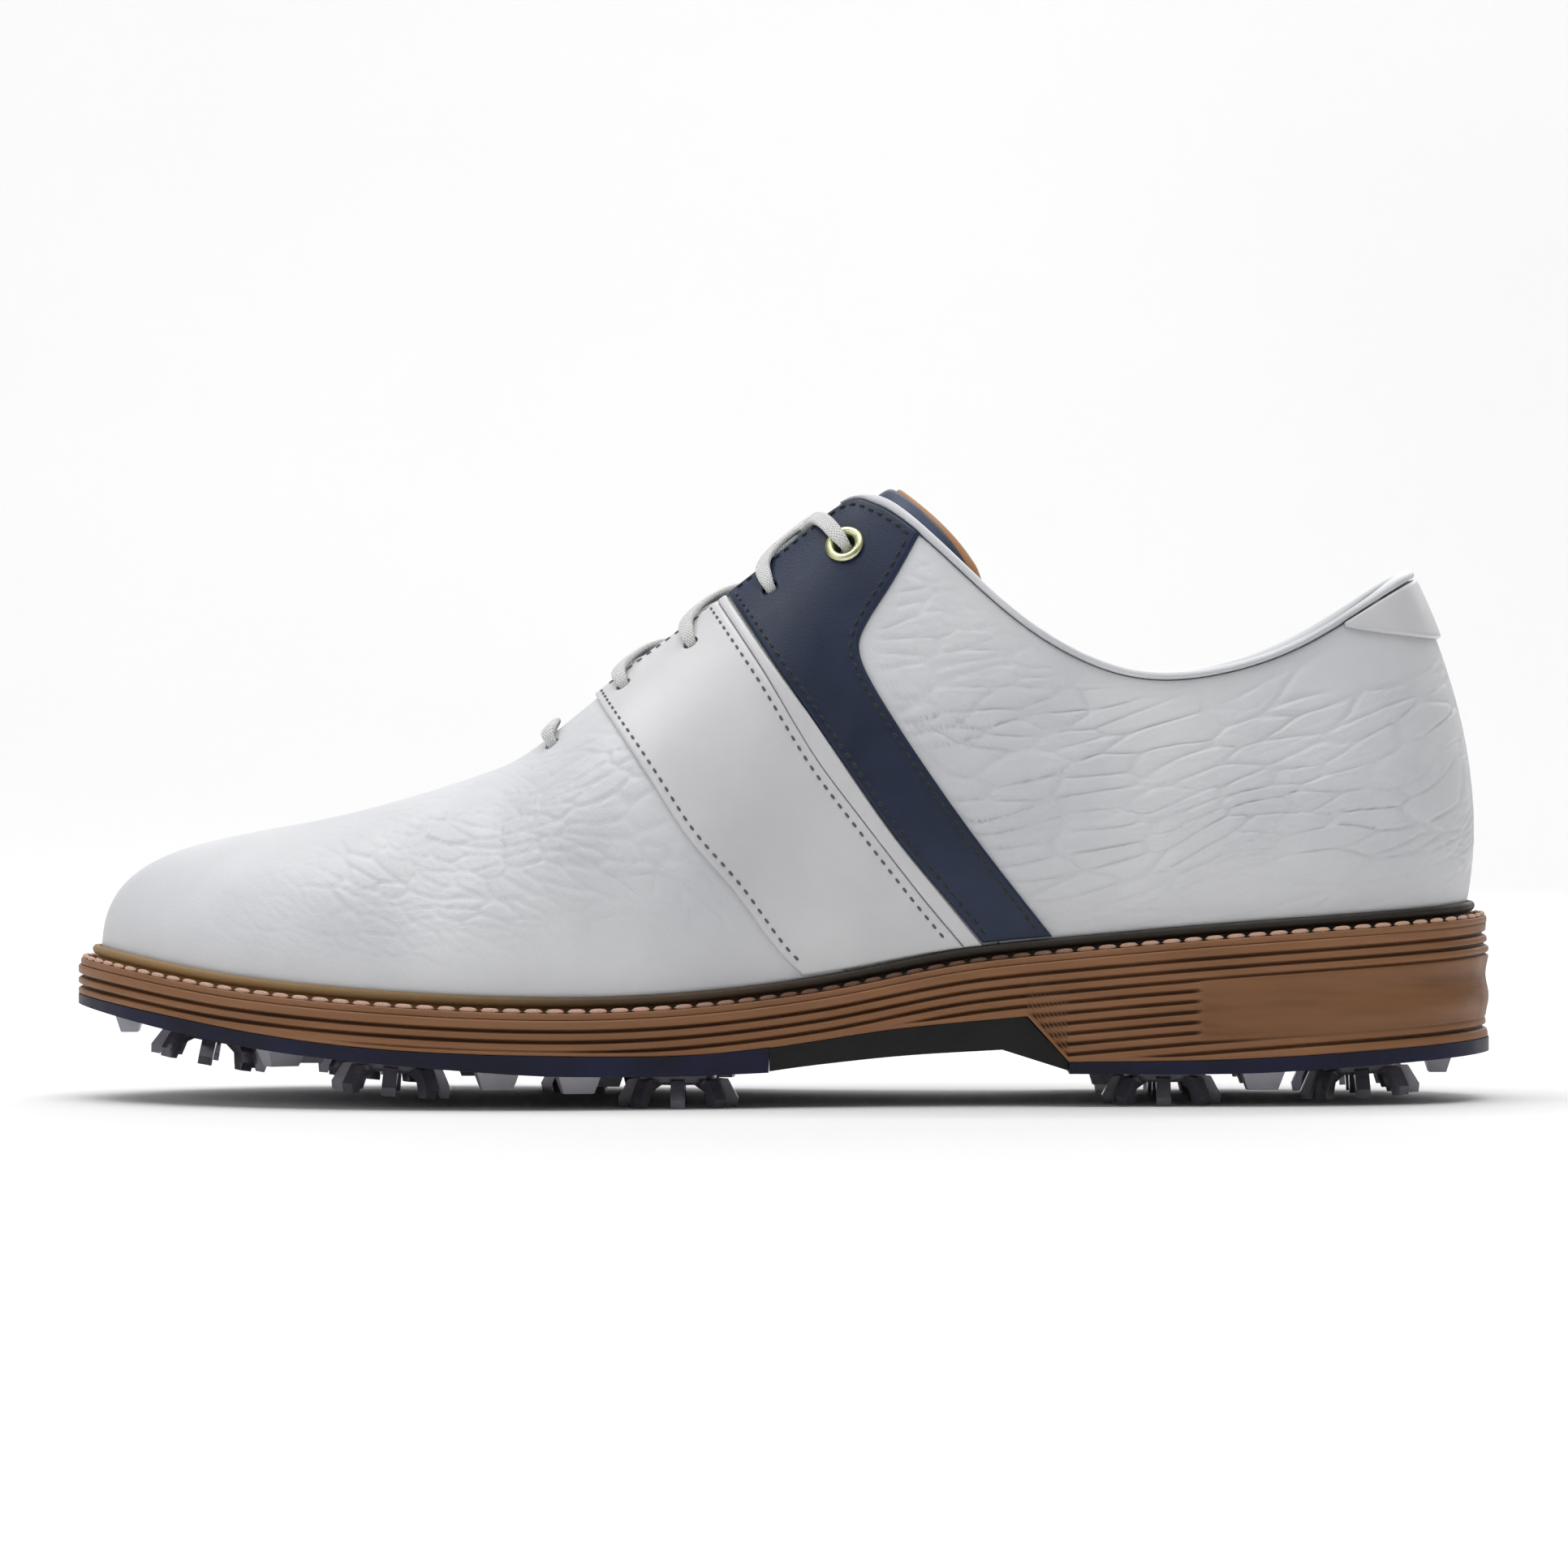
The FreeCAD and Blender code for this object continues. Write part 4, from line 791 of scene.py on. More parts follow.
def loop_piece(name, rings, closed_section=True, merge=False, marks=None):
    """A body swept round a closed loop: rings[k] is the k-th corner of its section."""
    count, around = rings.shape[:2]
    index = np.arange(count * around).reshape(count, around)
    index = np.concatenate([index, index[:, :1]], 1)
    if closed_section:
        index = np.concatenate([index, index[:1]], 0)
    return mesh_piece(name, rings.reshape(-1, 3), quads(index), merge, marks=marks)


def tube_piece(name, rings, look, replaces=(), body=SHOE, uv=None):
    """A body swept along an open line: rings[k] is the k-th corner of its section."""
    count, around = rings.shape[:2]
    index = np.arange(count * around).reshape(count, around)
    caps = []
    for end, flip in ((0, False), (around - 1, True)):
        ring = index[:, end]
        for k in range(count // 2 - 1):
            corners = (ring[k], ring[k + 1], ring[count - k - 2], ring[count - k - 1])
            caps.append(corners[::-1] if flip else corners)
    faces = np.concatenate([quads(np.concatenate([index, index[:1]], 0)), np.array(caps)])
    piece = mesh_piece(name, rings.reshape(-1, 3), faces, uv=uv)
    finished(piece, look, replaces, body=body)


def cut_holes(piece, cutters):
    """Cuts the cutters, one closed mesh object, out of a piece."""
    link(cutters)
    if piece.name not in bpy.context.scene.collection.objects:
        link(piece)
    modifier = piece.modifiers.new("holes", "BOOLEAN")
    modifier.operation = "DIFFERENCE"
    modifier.solver = "EXACT"
    modifier.object = cutters
    shown = piece.evaluated_get(bpy.context.evaluated_depsgraph_get())
    mesh = bpy.data.meshes.new_from_object(shown)
    piece.modifiers.clear()
    piece.data = mesh
    bpy.data.objects.remove(cutters)


def rod_cutters(name, rods, sides=32):
    """One mesh of round rods, each (middle, direction, radius, half length)."""
    work = bmesh.new()
    for middle, direction, radius, half in rods:
        turn = Vector(direction).to_track_quat("Z", "Y").to_matrix().to_4x4()
        place = Matrix.Translation(Vector(middle) * MM) @ turn
        bmesh.ops.create_cone(work, cap_ends=True, segments=sides, radius1=radius * MM,
                              radius2=radius * MM, depth=2 * half * MM, matrix=place)
    mesh = bpy.data.meshes.new(name)
    work.to_mesh(mesh)
    work.free()
    return bpy.data.objects.new(name, mesh)


def drill(piece, side_numbers):
    """Punches lace holes, each given as (side, number)."""
    rods = []
    for side, number in side_numbers:
        u, v = EYELETS[side][number]
        radius = TOP_EYELET_HOLE + RING_ROOM if number == TOP_EYELET else EYELET_HOLE
        rods.append((skin(u, v, -1.0), skin_normal(u, v), radius, 5.0))
    cut_holes(piece, rod_cutters("punches", rods))


# ---------------------------------------------------------------- leather relief


def scatter(ix, iy, seed):
    """A number from 0 to 1 that depends only on a lattice place and the seed."""
    value = np.sin(ix * 127.1 + iy * 311.7 + seed * 74.7) * 43758.5453
    return value - np.floor(value)


def cloud(x, y, seed):
    """Smooth noise from 0 to 1 with features one unit across."""
    ix = np.floor(x)
    iy = np.floor(y)
    fx = x - ix
    fy = y - iy
    fx = fx * fx * (3 - 2 * fx)
    fy = fy * fy * (3 - 2 * fy)
    low = scatter(ix, iy, seed) * (1 - fx) + scatter(ix + 1, iy, seed) * fx
    high = scatter(ix, iy + 1, seed) * (1 - fx) + scatter(ix + 1, iy + 1, seed) * fx
    return low * (1 - fy) + high * fy


def creases(x, y, seed, width):
    """1 along the borders of scattered cells one unit across, falling to 0 inside them."""
    cell_x = np.floor(x)
    cell_y = np.floor(y)
    nearest = np.full(x.shape, 9.0)
    second = np.full(x.shape, 9.0)
    for dx in (-1, 0, 1):
        for dy in (-1, 0, 1):
            ix = cell_x + dx
            iy = cell_y + dy
            px = ix + scatter(ix, iy, seed) - x
            py = iy + scatter(ix, iy, seed + 5) - y
            far = np.sqrt(px * px + py * py)
            second = np.minimum(second, np.maximum(nearest, far))
            nearest = np.minimum(nearest, far)
    return np.exp(-((second - nearest) / width) ** 2)


def tumbled(along, up, seed, cell_long, cell_high, depth):
    """Milled leather: long gentle creases with finer ones between them."""
    bend_x = cloud(along / 17.0, up / 13.0, seed) - 0.5
    bend_y = cloud(along / 19.0, up / 11.0, seed + 1) - 0.5
    x = (along + 9.0 * bend_x) / cell_long
    y = (up + 7.0 * bend_y) / cell_high
    strength = 0.25 + 0.75 * cloud(along / 15.0, up / 9.0, seed + 2)
    main = creases(x, y, seed + 3, 0.13) * strength
    fine = creases(x * 2.3 + 4.0, y * 1.9 + 2.0, seed + 4, 0.16) * (1.2 - strength)
    swell = cloud(x * 0.7, y * 0.7, seed + 6) - 0.5
    return -depth * main - 0.38 * depth * fine + 0.5 * depth * swell


# ---------------------------------------------------------------- panels of the upper

RIM = (0.0, 0.10, 0.26, 0.48, 0.75)
HEM = 8.0


def spaced(count, width):
    """Shares from 0 to 1 of a width, closer near both ends, where the cut edge is rounded."""
    near = np.array(RIM) / width
    inner = np.linspace(near[-1], 1 - near[-1], count)
    return np.concatenate([near[:-1], inner, (1 - near[:-1])[::-1]])


def run_along(path):
    """How far along a line each of its points is."""
    steps = np.linalg.norm(np.diff(path, axis=0), axis=1)
    return np.concatenate([[0.0], np.cumsum(steps)])


def run_lengths(points, axis):
    """How far each point of a grid is from the first and from the last line of points."""
    steps = np.linalg.norm(np.diff(points, axis=axis), axis=2)
    total = np.cumsum(steps, axis=axis)
    pad = [(0, 0), (0, 0)]
    pad[axis] = (1, 0)
    first = np.pad(total, pad)
    last = np.take(first, [-1], axis=axis) - first
    return first, last


def rolled(distance, radius):
    """How far a rounded edge of some radius falls away at a distance from its border."""
    rest = np.clip(1 - distance / radius, 0.0, 1.0)
    return radius * (1 - np.sqrt(1 - rest ** 2))


def no_relief(u, v, along, up):
    return np.zeros_like(u)


def panel_grid(start, end, rows, cols, bottom=0.0, length=60.0):
    """Stations and height shares of a panel between two seams, finer near its edges."""
    t = bottom + (1.0 - bottom) * spaced(rows, 75.0)
    share = spaced(cols, length)
    first = start(t)
    last = end(t)
    u = first[:, None] + (last - first)[:, None] * share[None, :]
    return u, t[:, None] * top_share(u)


def leather_piece(name, u, v, high, low, roll=0.6, relief=no_relief, inside=False, hems=(0, 0)):
    """A panel between two offsets from the upper's surface, with its outer edges rounded. With
    inside set, it is the side towards the foot that is rounded and carries the relief. The hems
    are the widths at its first and last seam that lie flat under a neighbour."""
    base = bezier(section(u), v)
    normal = skin_normal(u, v)
    from_low, from_high = run_lengths(base, 0)
    from_start, from_end = run_lengths(base, 1)
    edge = np.minimum(np.minimum(from_low, from_high), np.minimum(from_start, from_end))
    fall = rolled(edge, roll) * min(1.0, 0.75 * float(np.min(high - low)) / roll)
    open_part = np.minimum(from_start - hems[0], from_end - hems[1])
    lift = relief(u, v, from_start, from_low) * smooth(np.minimum(edge, open_part), 0.4, 5.0)
    if inside:
        low = low + fall - lift
    else:
        high = high - fall + lift
    outer = base + normal * np.broadcast_to(high, u.shape)[..., None]
    inner = base + normal * np.broadcast_to(low, u.shape)[..., None]
    return shell_piece(name, outer, inner)


def flat(value, u):
    return np.full_like(u, value)


def overlay_piece(name, front, rear, rows, cols, bottom=0.02, length=35.0):
    u, v = panel_grid(rear, front, rows, cols, bottom, length=length)
    return leather_piece(name, u, v, flat(OVERLAY + GAP, u), flat(GAP, u), 0.7)


def make_side(side):
    front = seam_line(side, saddle_front)
    saddle = overlay_piece("saddle_panel_" + side, front, seam_line(side, saddle_rear), 90, 70)
    drill(saddle, [(side, 1), (side, 2)])
    finished(saddle, "saddle_leather", ["saddle_" + side])
    strip_front = seam_line(side, saddle_rear, -0.006)
    strip_rear = seam_line(side, band_front, 0.02)
    white = overlay_piece("white_strip_" + side, strip_front, strip_rear, 90, 6, length=5.0)
    finished(white, "saddle_leather", ["saddle_strip_" + side])
    band = overlay_piece("navy_band_" + side, seam_line(side, band_front),
                         seam_line(side, band_rear), 110, 34, 0.027, 15.0)
    drill(band, [(side, 3), (side, 4)])
    finished(band, "navy_leather", ["eyestay_band_" + side])
    back = at_station(on_side(side, 0.01))
    u, v = panel_grid(back, seam_line(side, band_rear, SEAM_LAP), 150, 240, length=120.0)

    def quarter_relief(u, v, along, up):
        slack = 0.45 + 0.55 * smooth(v, 0.05, 0.35) * (1 - 0.6 * smooth(v, 0.80, 0.95))
        slack = slack * (1 - smooth(v, 0.72, 0.78) * (1 - smooth(heel_distance(u), 1.6, 2.2)))
        return tumbled(along + 0.25 * up, up + 0.12 * along, 11, 17.0, 4.5, 0.66) * slack

    quarter = leather_piece("quarter_panel_" + side, u, v, flat(0.0, u), flat(-LEATHER, u),
                            0.8, quarter_relief, hems=(0, HEM))
    finished(quarter, "white_leather", ["quarter_" + side])


def vamp_relief(u, v, along, up):
    """Creases over the ball of the foot, none on the polished toe."""
    reach = np.abs(u - TOE)
    ball = smooth(reach, 1.3, 3.3)
    belt = smooth(v, 0.05, 0.22) * (1 - 0.75 * smooth(v, 0.66, 0.92))
    lateral = np.where(u < TOE, along, -along)
    return tumbled(lateral - 0.55 * up, up + 0.18 * lateral, 31, 8.0, 4.2, 0.50) * ball * belt


def make_front():
    starts = [seam_line(side, saddle_front, -SEAM_LAP) for side in SIDES]
    u, v = panel_grid(*starts, 130, 560, length=250.0)
    vamp = leather_piece("vamp_panel", u, v, flat(0.0, u), flat(-LEATHER, u), 0.6, vamp_relief,
                         hems=(HEM, HEM))
    drill(vamp, [(side, number) for side in SIDES for number in (0, 1)])
    finished(vamp, "white_leather", ["vamp"])


def lining_relief(u, v, along, up):
    """The padded collar is crossed by soft tucks and bounded below by a sewn channel."""
    pad = (1 - smooth(heel_distance(u), 6.0, 7.2)) * smooth(v, 0.55, 0.65)
    tuck = 0.35 * (cloud(along / 6.0, up / 16.0, 51) - 0.5)
    channel = 0.9 * np.exp(-((v - 0.545) / 0.010) ** 2) * (1 - smooth(heel_distance(u), 6.0, 7.0))
    return tuck * pad - channel


def make_linings():
    seam = 9.3
    for side in SIDES:
        u, v = panel_grid(at_station(on_side(side, 0.01)), at_station(on_side(side, seam)),
                          90, 150, length=190.0)
        high = lining_out(u, v)
        lining = leather_piece("quarter_inside_" + side, u, v, high, high - LINING, 0.5,
                               lining_relief, True)
        drill(lining, [(side, 3), (side, 4)])
        finished(lining, "lining_textile", ["quarter_lining_" + side])
    u, v = panel_grid(at_station(seam + 0.01), at_station(LOOP - seam - 0.01), 60, 200, length=250.0)
    high = lining_out(u, v)
    lining = leather_piece("vamp_inside", u, v, high, high - LINING, 0.5, no_relief, True)
    drill(lining, [(side, number) for side in SIDES for number in (0, 1, 2)])
    finished(lining, "lining_textile", ["vamp_lining"])


def make_heel_tab():
    reach = 1.55
    across = spaced(60, 55.0)
    rise = spaced(26, 10.0)
    u = (across * 2 - 1)[None, :] * reach + np.zeros_like(rise)[:, None]
    high = BINDING_SHARE - 0.003
    low = 0.80 + (high - 0.012 - 0.80) * (np.abs(u) / reach) ** 2.2
    v = low + (high - low) * rise[:, None]
    tab = leather_piece("heel_tab_panel", u, v, flat(OVERLAY + GAP + 0.2, u), flat(GAP, u), 0.7)
    finished(tab, "saddle_leather", ["heel_tab"])


def make_piping():
    """The rolled strip over the topline: from the leather, over the edge, down to the lining."""
    u = np.linspace(-BINDING_END, BINDING_END, 420)
    top = skin(u, 1.0)
    rise = unit(top - skin(u, 0.955))
    out = skin_normal(u, np.full_like(u, 0.985))
    inner = lining_out(u, np.full_like(u, 0.985)) - LINING
    outer = np.full_like(u, OVERLAY + 0.25)
    base_share = np.minimum(top_share(u) + 0.002, 1.0)
    drop = (1 - base_share) * PANEL_HEIGHT
    rings = []
    for angle in np.linspace(0.0, math.pi, 17):
        across = (1 - math.copysign(abs(math.cos(angle)) ** 0.8, math.cos(angle))) / 2
        arch = math.sin(angle)
        offset = outer + (inner - outer) * across
        lift = 0.3 * arch ** 0.7 + 0.12 - 0.62 * drop * (1 - arch)
        rings.append(top + out * offset[:, None] + rise * lift[:, None])
    base = skin(u, base_share) + rise * 0.06
    rings.append(base + out * (inner + 0.25)[:, None])
    rings.append(base + out * (outer - 0.45)[:, None])
    rings.append(base + out * (outer - 0.12)[:, None] + rise * (0.18 * drop)[:, None])
    rings = np.array(rings)
    count, around = rings.shape[:2]
    index = np.arange(count * around).reshape(count, around)
    sides = quads(np.concatenate([index, index[:1]], 0))
    points = rings.reshape(-1, 3)
    caps = []
    for end in (0, around - 1):
        middle = len(points)
        points = np.concatenate([points, rings[:, end].mean(0)[None]])
        ring = index[:, end]
        after = np.roll(ring, -1)
        first, second = (ring, after) if end == 0 else (after, ring)
        caps.append(np.stack([np.full_like(ring, middle), second, first, first], -1))
    faces = [tuple(face) for face in sides.tolist()]
    faces += [tuple(face[:3]) for cap in caps for face in cap.tolist()]
    mesh = bpy.data.meshes.new("topline_piping")
    mesh.from_pydata((points * MM).tolist(), [], faces)
    work = bmesh.new()
    work.from_mesh(mesh)
    bmesh.ops.recalc_face_normals(work, faces=work.faces)
    work.to_mesh(mesh)
    work.free()
    mesh.shade_smooth()
    piping = bpy.data.objects.new("topline_piping", mesh)
    finished(piping, "collar_piping", ["collar_binding"])


for side in SIDES:
    make_side(side)
make_front()
make_linings()
make_heel_tab()
make_piping()

# ---------------------------------------------------------------- stitching


STITCH_RINGS = 9
STITCH_SIDES = 8


def stitch_shape(length, width, height):
    """A stitch as a rounded grain of thread along X, standing on the leather."""
    points = []
    for x in np.linspace(-1, 1, STITCH_RINGS):
        girth = (1 - abs(x) ** 2.6) ** 0.5 if abs(x) < 1 else 0.04
        for k in range(STITCH_SIDES):
            angle = 2 * math.pi * k / STITCH_SIDES
            points.append((x * length / 2, math.cos(angle) * width / 2 * girth,
                           math.sin(angle) * height / 2 * girth))
    index = np.arange(len(points)).reshape(STITCH_RINGS, STITCH_SIDES)
    index = np.concatenate([index, index[:, :1]], 1)
    return np.array(points), quads(index)


def stitch_row(path, normals, pitch, length, width, height, sink):
    """Points and faces of stitches laid along a path on a surface."""
    run = run_along(path)
    count = max(1, int(run[-1] / pitch))
    at = (np.arange(count) + 0.5) * run[-1] / count
    reach = 0.3

    def between(places, values):
        return np.stack([np.interp(places, run, values[:, k]) for k in range(3)], -1)

    middle = between(at, path)
    up = unit(between(at, normals))
    way = unit(between(at + reach, path) - between(at - reach, path))
    side_way = unit(np.cross(up, way))
    up = np.cross(way, side_way)
    shape, shape_faces = stitch_shape(length, width, height)
    lift = height / 2 - sink
    points = (middle[:, None] + way[:, None] * shape[None, :, :1]
              + side_way[:, None] * shape[None, :, 1:2] + up[:, None] * (shape[None, :, 2:] + lift))
    faces = shape_faces[None] + (np.arange(count) * len(shape))[:, None, None]
    return points.reshape(-1, 3), faces.reshape(-1, 4)


def capped(points, faces):
    """Adds the two end faces to every stitch."""
    size = STITCH_RINGS * STITCH_SIDES
    extra = []
    for first in range(0, len(points), size):
        for start, flip in ((first, True), (first + size - STITCH_SIDES, False)):
            for a, b, c, d in ((0, 1, 2, 3), (0, 3, 4, 7), (4, 5, 6, 7)):
                corners = (start + a, start + b, start + c, start + d)
                extra.append(corners[::-1] if flip else corners)
    return np.concatenate([faces, np.array(extra)])


def stitch_piece(name, rows, look, replaces=()):
    points = []
    faces = []
    count = 0
    for row_points, row_faces in rows:
        points.append(row_points)
        faces.append(row_faces + count)
        count += len(row_points)
    points = np.concatenate(points)
    faces = capped(points, np.concatenate(faces))
    finished(mesh_piece(name, points, faces), look, replaces)


def beside_seam(side, seam, inset, offset, low, high):
    """A path on the upper beside a seam, some millimetres towards the heel in side view."""
    step = 0.5

    def shifted(z):
        lean = (seam(z + step) - seam(z - step)) / (2 * step)
        return seam(z) + inset * np.sqrt(1 + lean ** 2)

    t = np.linspace(low, high, 140)
    u = on_side(side, seam_stations(side, shifted, t))
    v = t * top_share(u)
    return skin(u, v, offset), skin_normal(u, v)


OVER_TOP = OVERLAY + GAP
# A stitch's length, width and height, and how deep it sinks into the leather.
STITCH = (1.40, 0.60, 0.50, 0.20)
BAND_STITCH = (1.55, 0.72, 0.60, 0.20)
STITCH_PITCH = 2.45


def seam_row(side, seam, inset, shape, low=0.05, high=0.985):
    path, normals = beside_seam(side, seam, inset, OVER_TOP, low, high)
    return stitch_row(path, normals, STITCH_PITCH, *shape)


def facing_row(side, first, last, below, shape):
    """Stitches along the top edge of a facing, between two stations."""
    u = on_side(side, np.linspace(first, last, 90))
    v = top_share(u) - below / PANEL_HEIGHT
    return stitch_row(skin(u, v, OVER_TOP), skin_normal(u, v), STITCH_PITCH, *shape)


def edge_stations(side, front, rear, inset):
    """The stations where a facing's two seams meet its top edge, moved inwards."""
    ends = [float(seam_stations(side, seam, np.array([1.0]))[0]) for seam in (rear, front)]
    return ends[0] + inset, ends[1] - inset


def make_stitching():
    for side in SIDES:
        ends = edge_stations(side, saddle_front, saddle_rear, 0.18)
        rows = [seam_row(side, saddle_front, 1.7, STITCH), seam_row(side, saddle_rear, -1.9, STITCH),
                facing_row(side, *ends, 1.7, STITCH)]
        stitch_piece("saddle_stitching_" + side, rows, "thread")
        ends = edge_stations(side, band_front, band_rear, 0.12)
        rows = [seam_row(side, band_front, 1.6, BAND_STITCH, 0.05, 0.96),
                seam_row(side, band_rear, -1.7, BAND_STITCH, 0.05, 0.96),
                facing_row(side, *ends, 1.7, BAND_STITCH)]
        stitch_piece("band_stitching_" + side, rows, "navy_thread")


make_stitching()


# ---------------------------------------------------------------- the sole

SOLE_MARGIN = 5.0
PLATE_TOP = -3.2
PLATE_BOTTOM = PLATE_TOP - 1.4
INNER_MARGIN = -4.0
BREAST_TOP = 51.2
HEEL_FRONT = 60.0


def outline_point(u, margin):
    foot = np.stack([loop_value(columns[0], u), loop_value(columns[1], u), np.zeros_like(u)], -1)
    return foot + plan_normal(columns[0], columns[1], u) * np.asarray(margin)[..., None]


def evenly_round(count):
    """Stations spaced evenly by length along the feather line, in one full turn."""
    fine = np.linspace(0.0, LOOP, LOOP * 40 + 1)
    run = run_along(outline_point(fine, np.zeros_like(fine)))
    return np.interp(np.arange(count) * run[-1] / count, run, fine)


def ring_at(u, margin, height):
    """A ring round the shoe at a margin outside the feather line and a height above it."""
    ring = outline_point(u, np.full_like(u, margin))
    ring[:, 2] = feather(ring[:, 0]) + height
    return ring


def make_welt():
    u = evenly_round(520)
    plate = [(INNER_MARGIN, PLATE_BOTTOM), (4.35, PLATE_BOTTOM), (4.5, PLATE_BOTTOM + 0.15),
             (4.5, PLATE_TOP - 0.35), (4.4, PLATE_TOP - 0.1), (4.15, PLATE_TOP),
             (2.0, PLATE_TOP - 0.05), (INNER_MARGIN, PLATE_TOP - 0.05)]
    bead = [(INNER_MARGIN, PLATE_TOP), (1.5, PLATE_TOP), (1.62, PLATE_TOP + 0.12),
            (1.5, PLATE_TOP + 0.3), (0.95, PLATE_TOP + 0.42), (0.68, -2.15)]
    for k in range(13):
        angle = -math.pi * 0.40 + math.pi * 0.86 * k / 12
        bead.append((0.85 + 1.12 * math.cos(angle), -0.92 + 1.08 * math.sin(angle)))
    bead += [(0.5, 0.08), (0.45, -0.2), (0.45, -UPPER_DROP - GAP),
             (INNER_MARGIN, -UPPER_DROP - GAP)]
    for name, corners, look in (("welt_plate", plate, "midsole_rubber"), ("welt_bead", bead, "welt")):
        rings = np.array([ring_at(u, margin, height) for margin, height in corners])
        finished(loop_piece(name, rings), look, ["welt"])
    path = ring_at(np.concatenate([u, u[:1]]), 3.55, PLATE_TOP)
    up = np.tile([0.0, 0.0, 1.0], (len(path), 1))
    row = stitch_row(path, up, 4.5, 3.9, 1.25, 1.15, 0.2)
    stitch_piece("welt_stitches", [row], "welt_thread", ["welt_stitching"])


GROOVE_FIRST = 2.3
GROOVE_PITCH = 2.2
GROOVE_DEPTH = 0.95
FLAT_SHARES = (0.0, 0.15, 0.4, 0.7, 1.0)


def sole_under(x):
    """The underside of the midsole, with the sloping breast of the heel."""
    slope = (x - BREAST_TOP) / (HEEL_FRONT - BREAST_TOP)
    breast = midsole_under(BREAST_TOP) + slope * (heel_under(HEEL_FRONT) - midsole_under(BREAST_TOP))
    return np.where(x < BREAST_TOP, midsole_under(x), np.where(x > HEEL_FRONT, heel_under(x), breast))


def stations_with(count, marks):
    """Even stations plus those where the sole's outline crosses each marked x."""
    u = evenly_round(count)
    fine = np.linspace(0.0, LOOP, 3201)
    x = outline_point(fine, np.full_like(fine, SOLE_MARGIN))[:, 0]
    extra = []
    for groove_shade_and_panel_tone in marks:
        crossing = np.nonzero((x[:-1] - groove_shade_and_panel_tone) * (x[1:] - groove_shade_and_panel_tone) <= 0)[0]
        for i in crossing:
            share = (groove_shade_and_panel_tone - x[i]) / (x[i + 1] - x[i])
            extra.append(fine[i] + share * (fine[i + 1] - fine[i]))
    return np.sort(np.concatenate([u, extra]))


def spine_of(points):
    """Where each outline point's line to the middle of the sole ends."""
    x = np.clip(points[:, 0], -118.0, 122.0)
    return np.stack([x, np.zeros_like(x), np.zeros_like(x)], -1)


def sole_body(name, margin, top, under, wall_rows, groove=None, swell=None):
    """A layer of the sole as a closed mesh: its underside from the middle out, its wall, and its
    top back to the middle. groove and swell shape the wall, by x, depth below the top and z."""
    u = stations_with(760, (BREAST_TOP, HEEL_FRONT))
    edge = outline_point(u, np.full_like(u, margin))
    spine = spine_of(edge)

    def inward(share, level, rim):
        ring = edge * (1 - share) + spine * share
        if share == 0.0:
            ring = outline_point(u, np.full_like(u, margin - rim))
        ring[:, 2] = level(ring[:, 0])
        return ring

    rings = [inward(share, under, 0.35) for share in FLAT_SHARES[::-1]]
    marks = [np.zeros_like(u)] * len(FLAT_SHARES)
    for share in np.linspace(0.0, 1.0, wall_rows):
        low = under(edge[:, 0])
        high = top(edge[:, 0])
        z = low + (high - low) * share
        z = np.clip(z, low + 0.05, high - 0.05)
        rim = rolled(np.minimum(z - low, high - z), 0.5)
        # The second groove value is painted shade in the grooves, and the heel panel's darker tone.
        depth, groove_shade_and_panel_tone = groove(edge[:, 0], high - z, z) if groove else np.zeros((2, len(u)))
        stand_in = swell(edge[:, 0], high - z) if swell else np.zeros_like(u)
        ring = outline_point(u, margin - rim - GROOVE_DEPTH * depth - stand_in)
        ring[:, 2] = z
        rings.append(ring)
        marks.append(groove_shade_and_panel_tone)
    rings += [inward(share, top, 0.6) for share in FLAT_SHARES]
    marks += [np.zeros_like(u)] * len(FLAT_SHARES)
    return loop_piece(name, np.array(rings), False, True, np.array(marks))


CLEATS = {
    "toe": (-122.0, 4.0),
    "fore_lateral": (-82.0, -30.0),
    "fore_medial": (-88.0, 31.0),
    "ball_lateral": (-22.0, -33.5),
    "ball_medial": (-40.0, 31.0),
    "heel_front_lateral": (80.0, -21.0),
    "heel_front_medial": (80.0, 24.5),
    "heel_rear_lateral": (122.0, -15.5),
    "heel_rear_medial": (122.0, 19.0),
}
# These four cleats stand upright, with their faces at one height; the others follow the tread.
STANDING = ("ball_lateral", "ball_medial", "heel_front_lateral", "heel_front_medial")
STANDING_HEIGHT = 7.0
POCKET_RADIUS = 7.55
POCKET_HALF = 4.025
POCKET_MIDDLE = 2.025


def tread_height(x):
    return float(heel_tread(x) if x > HEEL_FRONT else tread(x))


def cleat_axis(name):
    """The middle of a cleat's face on the tread and the way its axis points."""
    x, y = CLEATS[name]
    if name in STANDING:
        return np.array([x, y, STANDING_HEIGHT]), np.array([0.0, 0.0, 1.0])
    slope = (tread_height(x + 4.0) - tread_height(x - 4.0)) / 8.0
    return np.array([x, y, tread_height(x)]), unit(np.array([-slope, 0.0, 1.0]))


def groove_mark(x, below_top, z):
    """How deep in a groove a place on the wall is, and how dark it is painted: painted shade in the
    grooves.
    The grooves are even and horizontal, and leave out a smooth darker panel on each side of the heel."""
    wave = (below_top - GROOVE_FIRST) / GROOVE_PITCH
    groove = (0.5 + 0.5 * np.cos(2 * math.pi * wave)) ** 3.2 * (below_top > GROOVE_FIRST - 1.1)
    floor = z - sole_under(x)
    panel = smooth(x, 86.0, 89.0) * smooth(below_top, 6.4, 7.2) * smooth(floor, 3.6, 4.6)
    groove = groove * smooth(floor, 0.7, 1.2) * (1 - panel)
    # The second value is painted shade in the grooves, and the panel's darker tone.
    return groove, np.maximum(groove, 0.26 * panel)


def heel_wave(x, below_top):
    """The back of the heel stands in a little, and waves."""
    heel_back = smooth(x, 100.0, 150.0)
    return heel_back * (0.35 + 0.33 * np.cos(2 * math.pi * (below_top - 1.5) / 9.5))


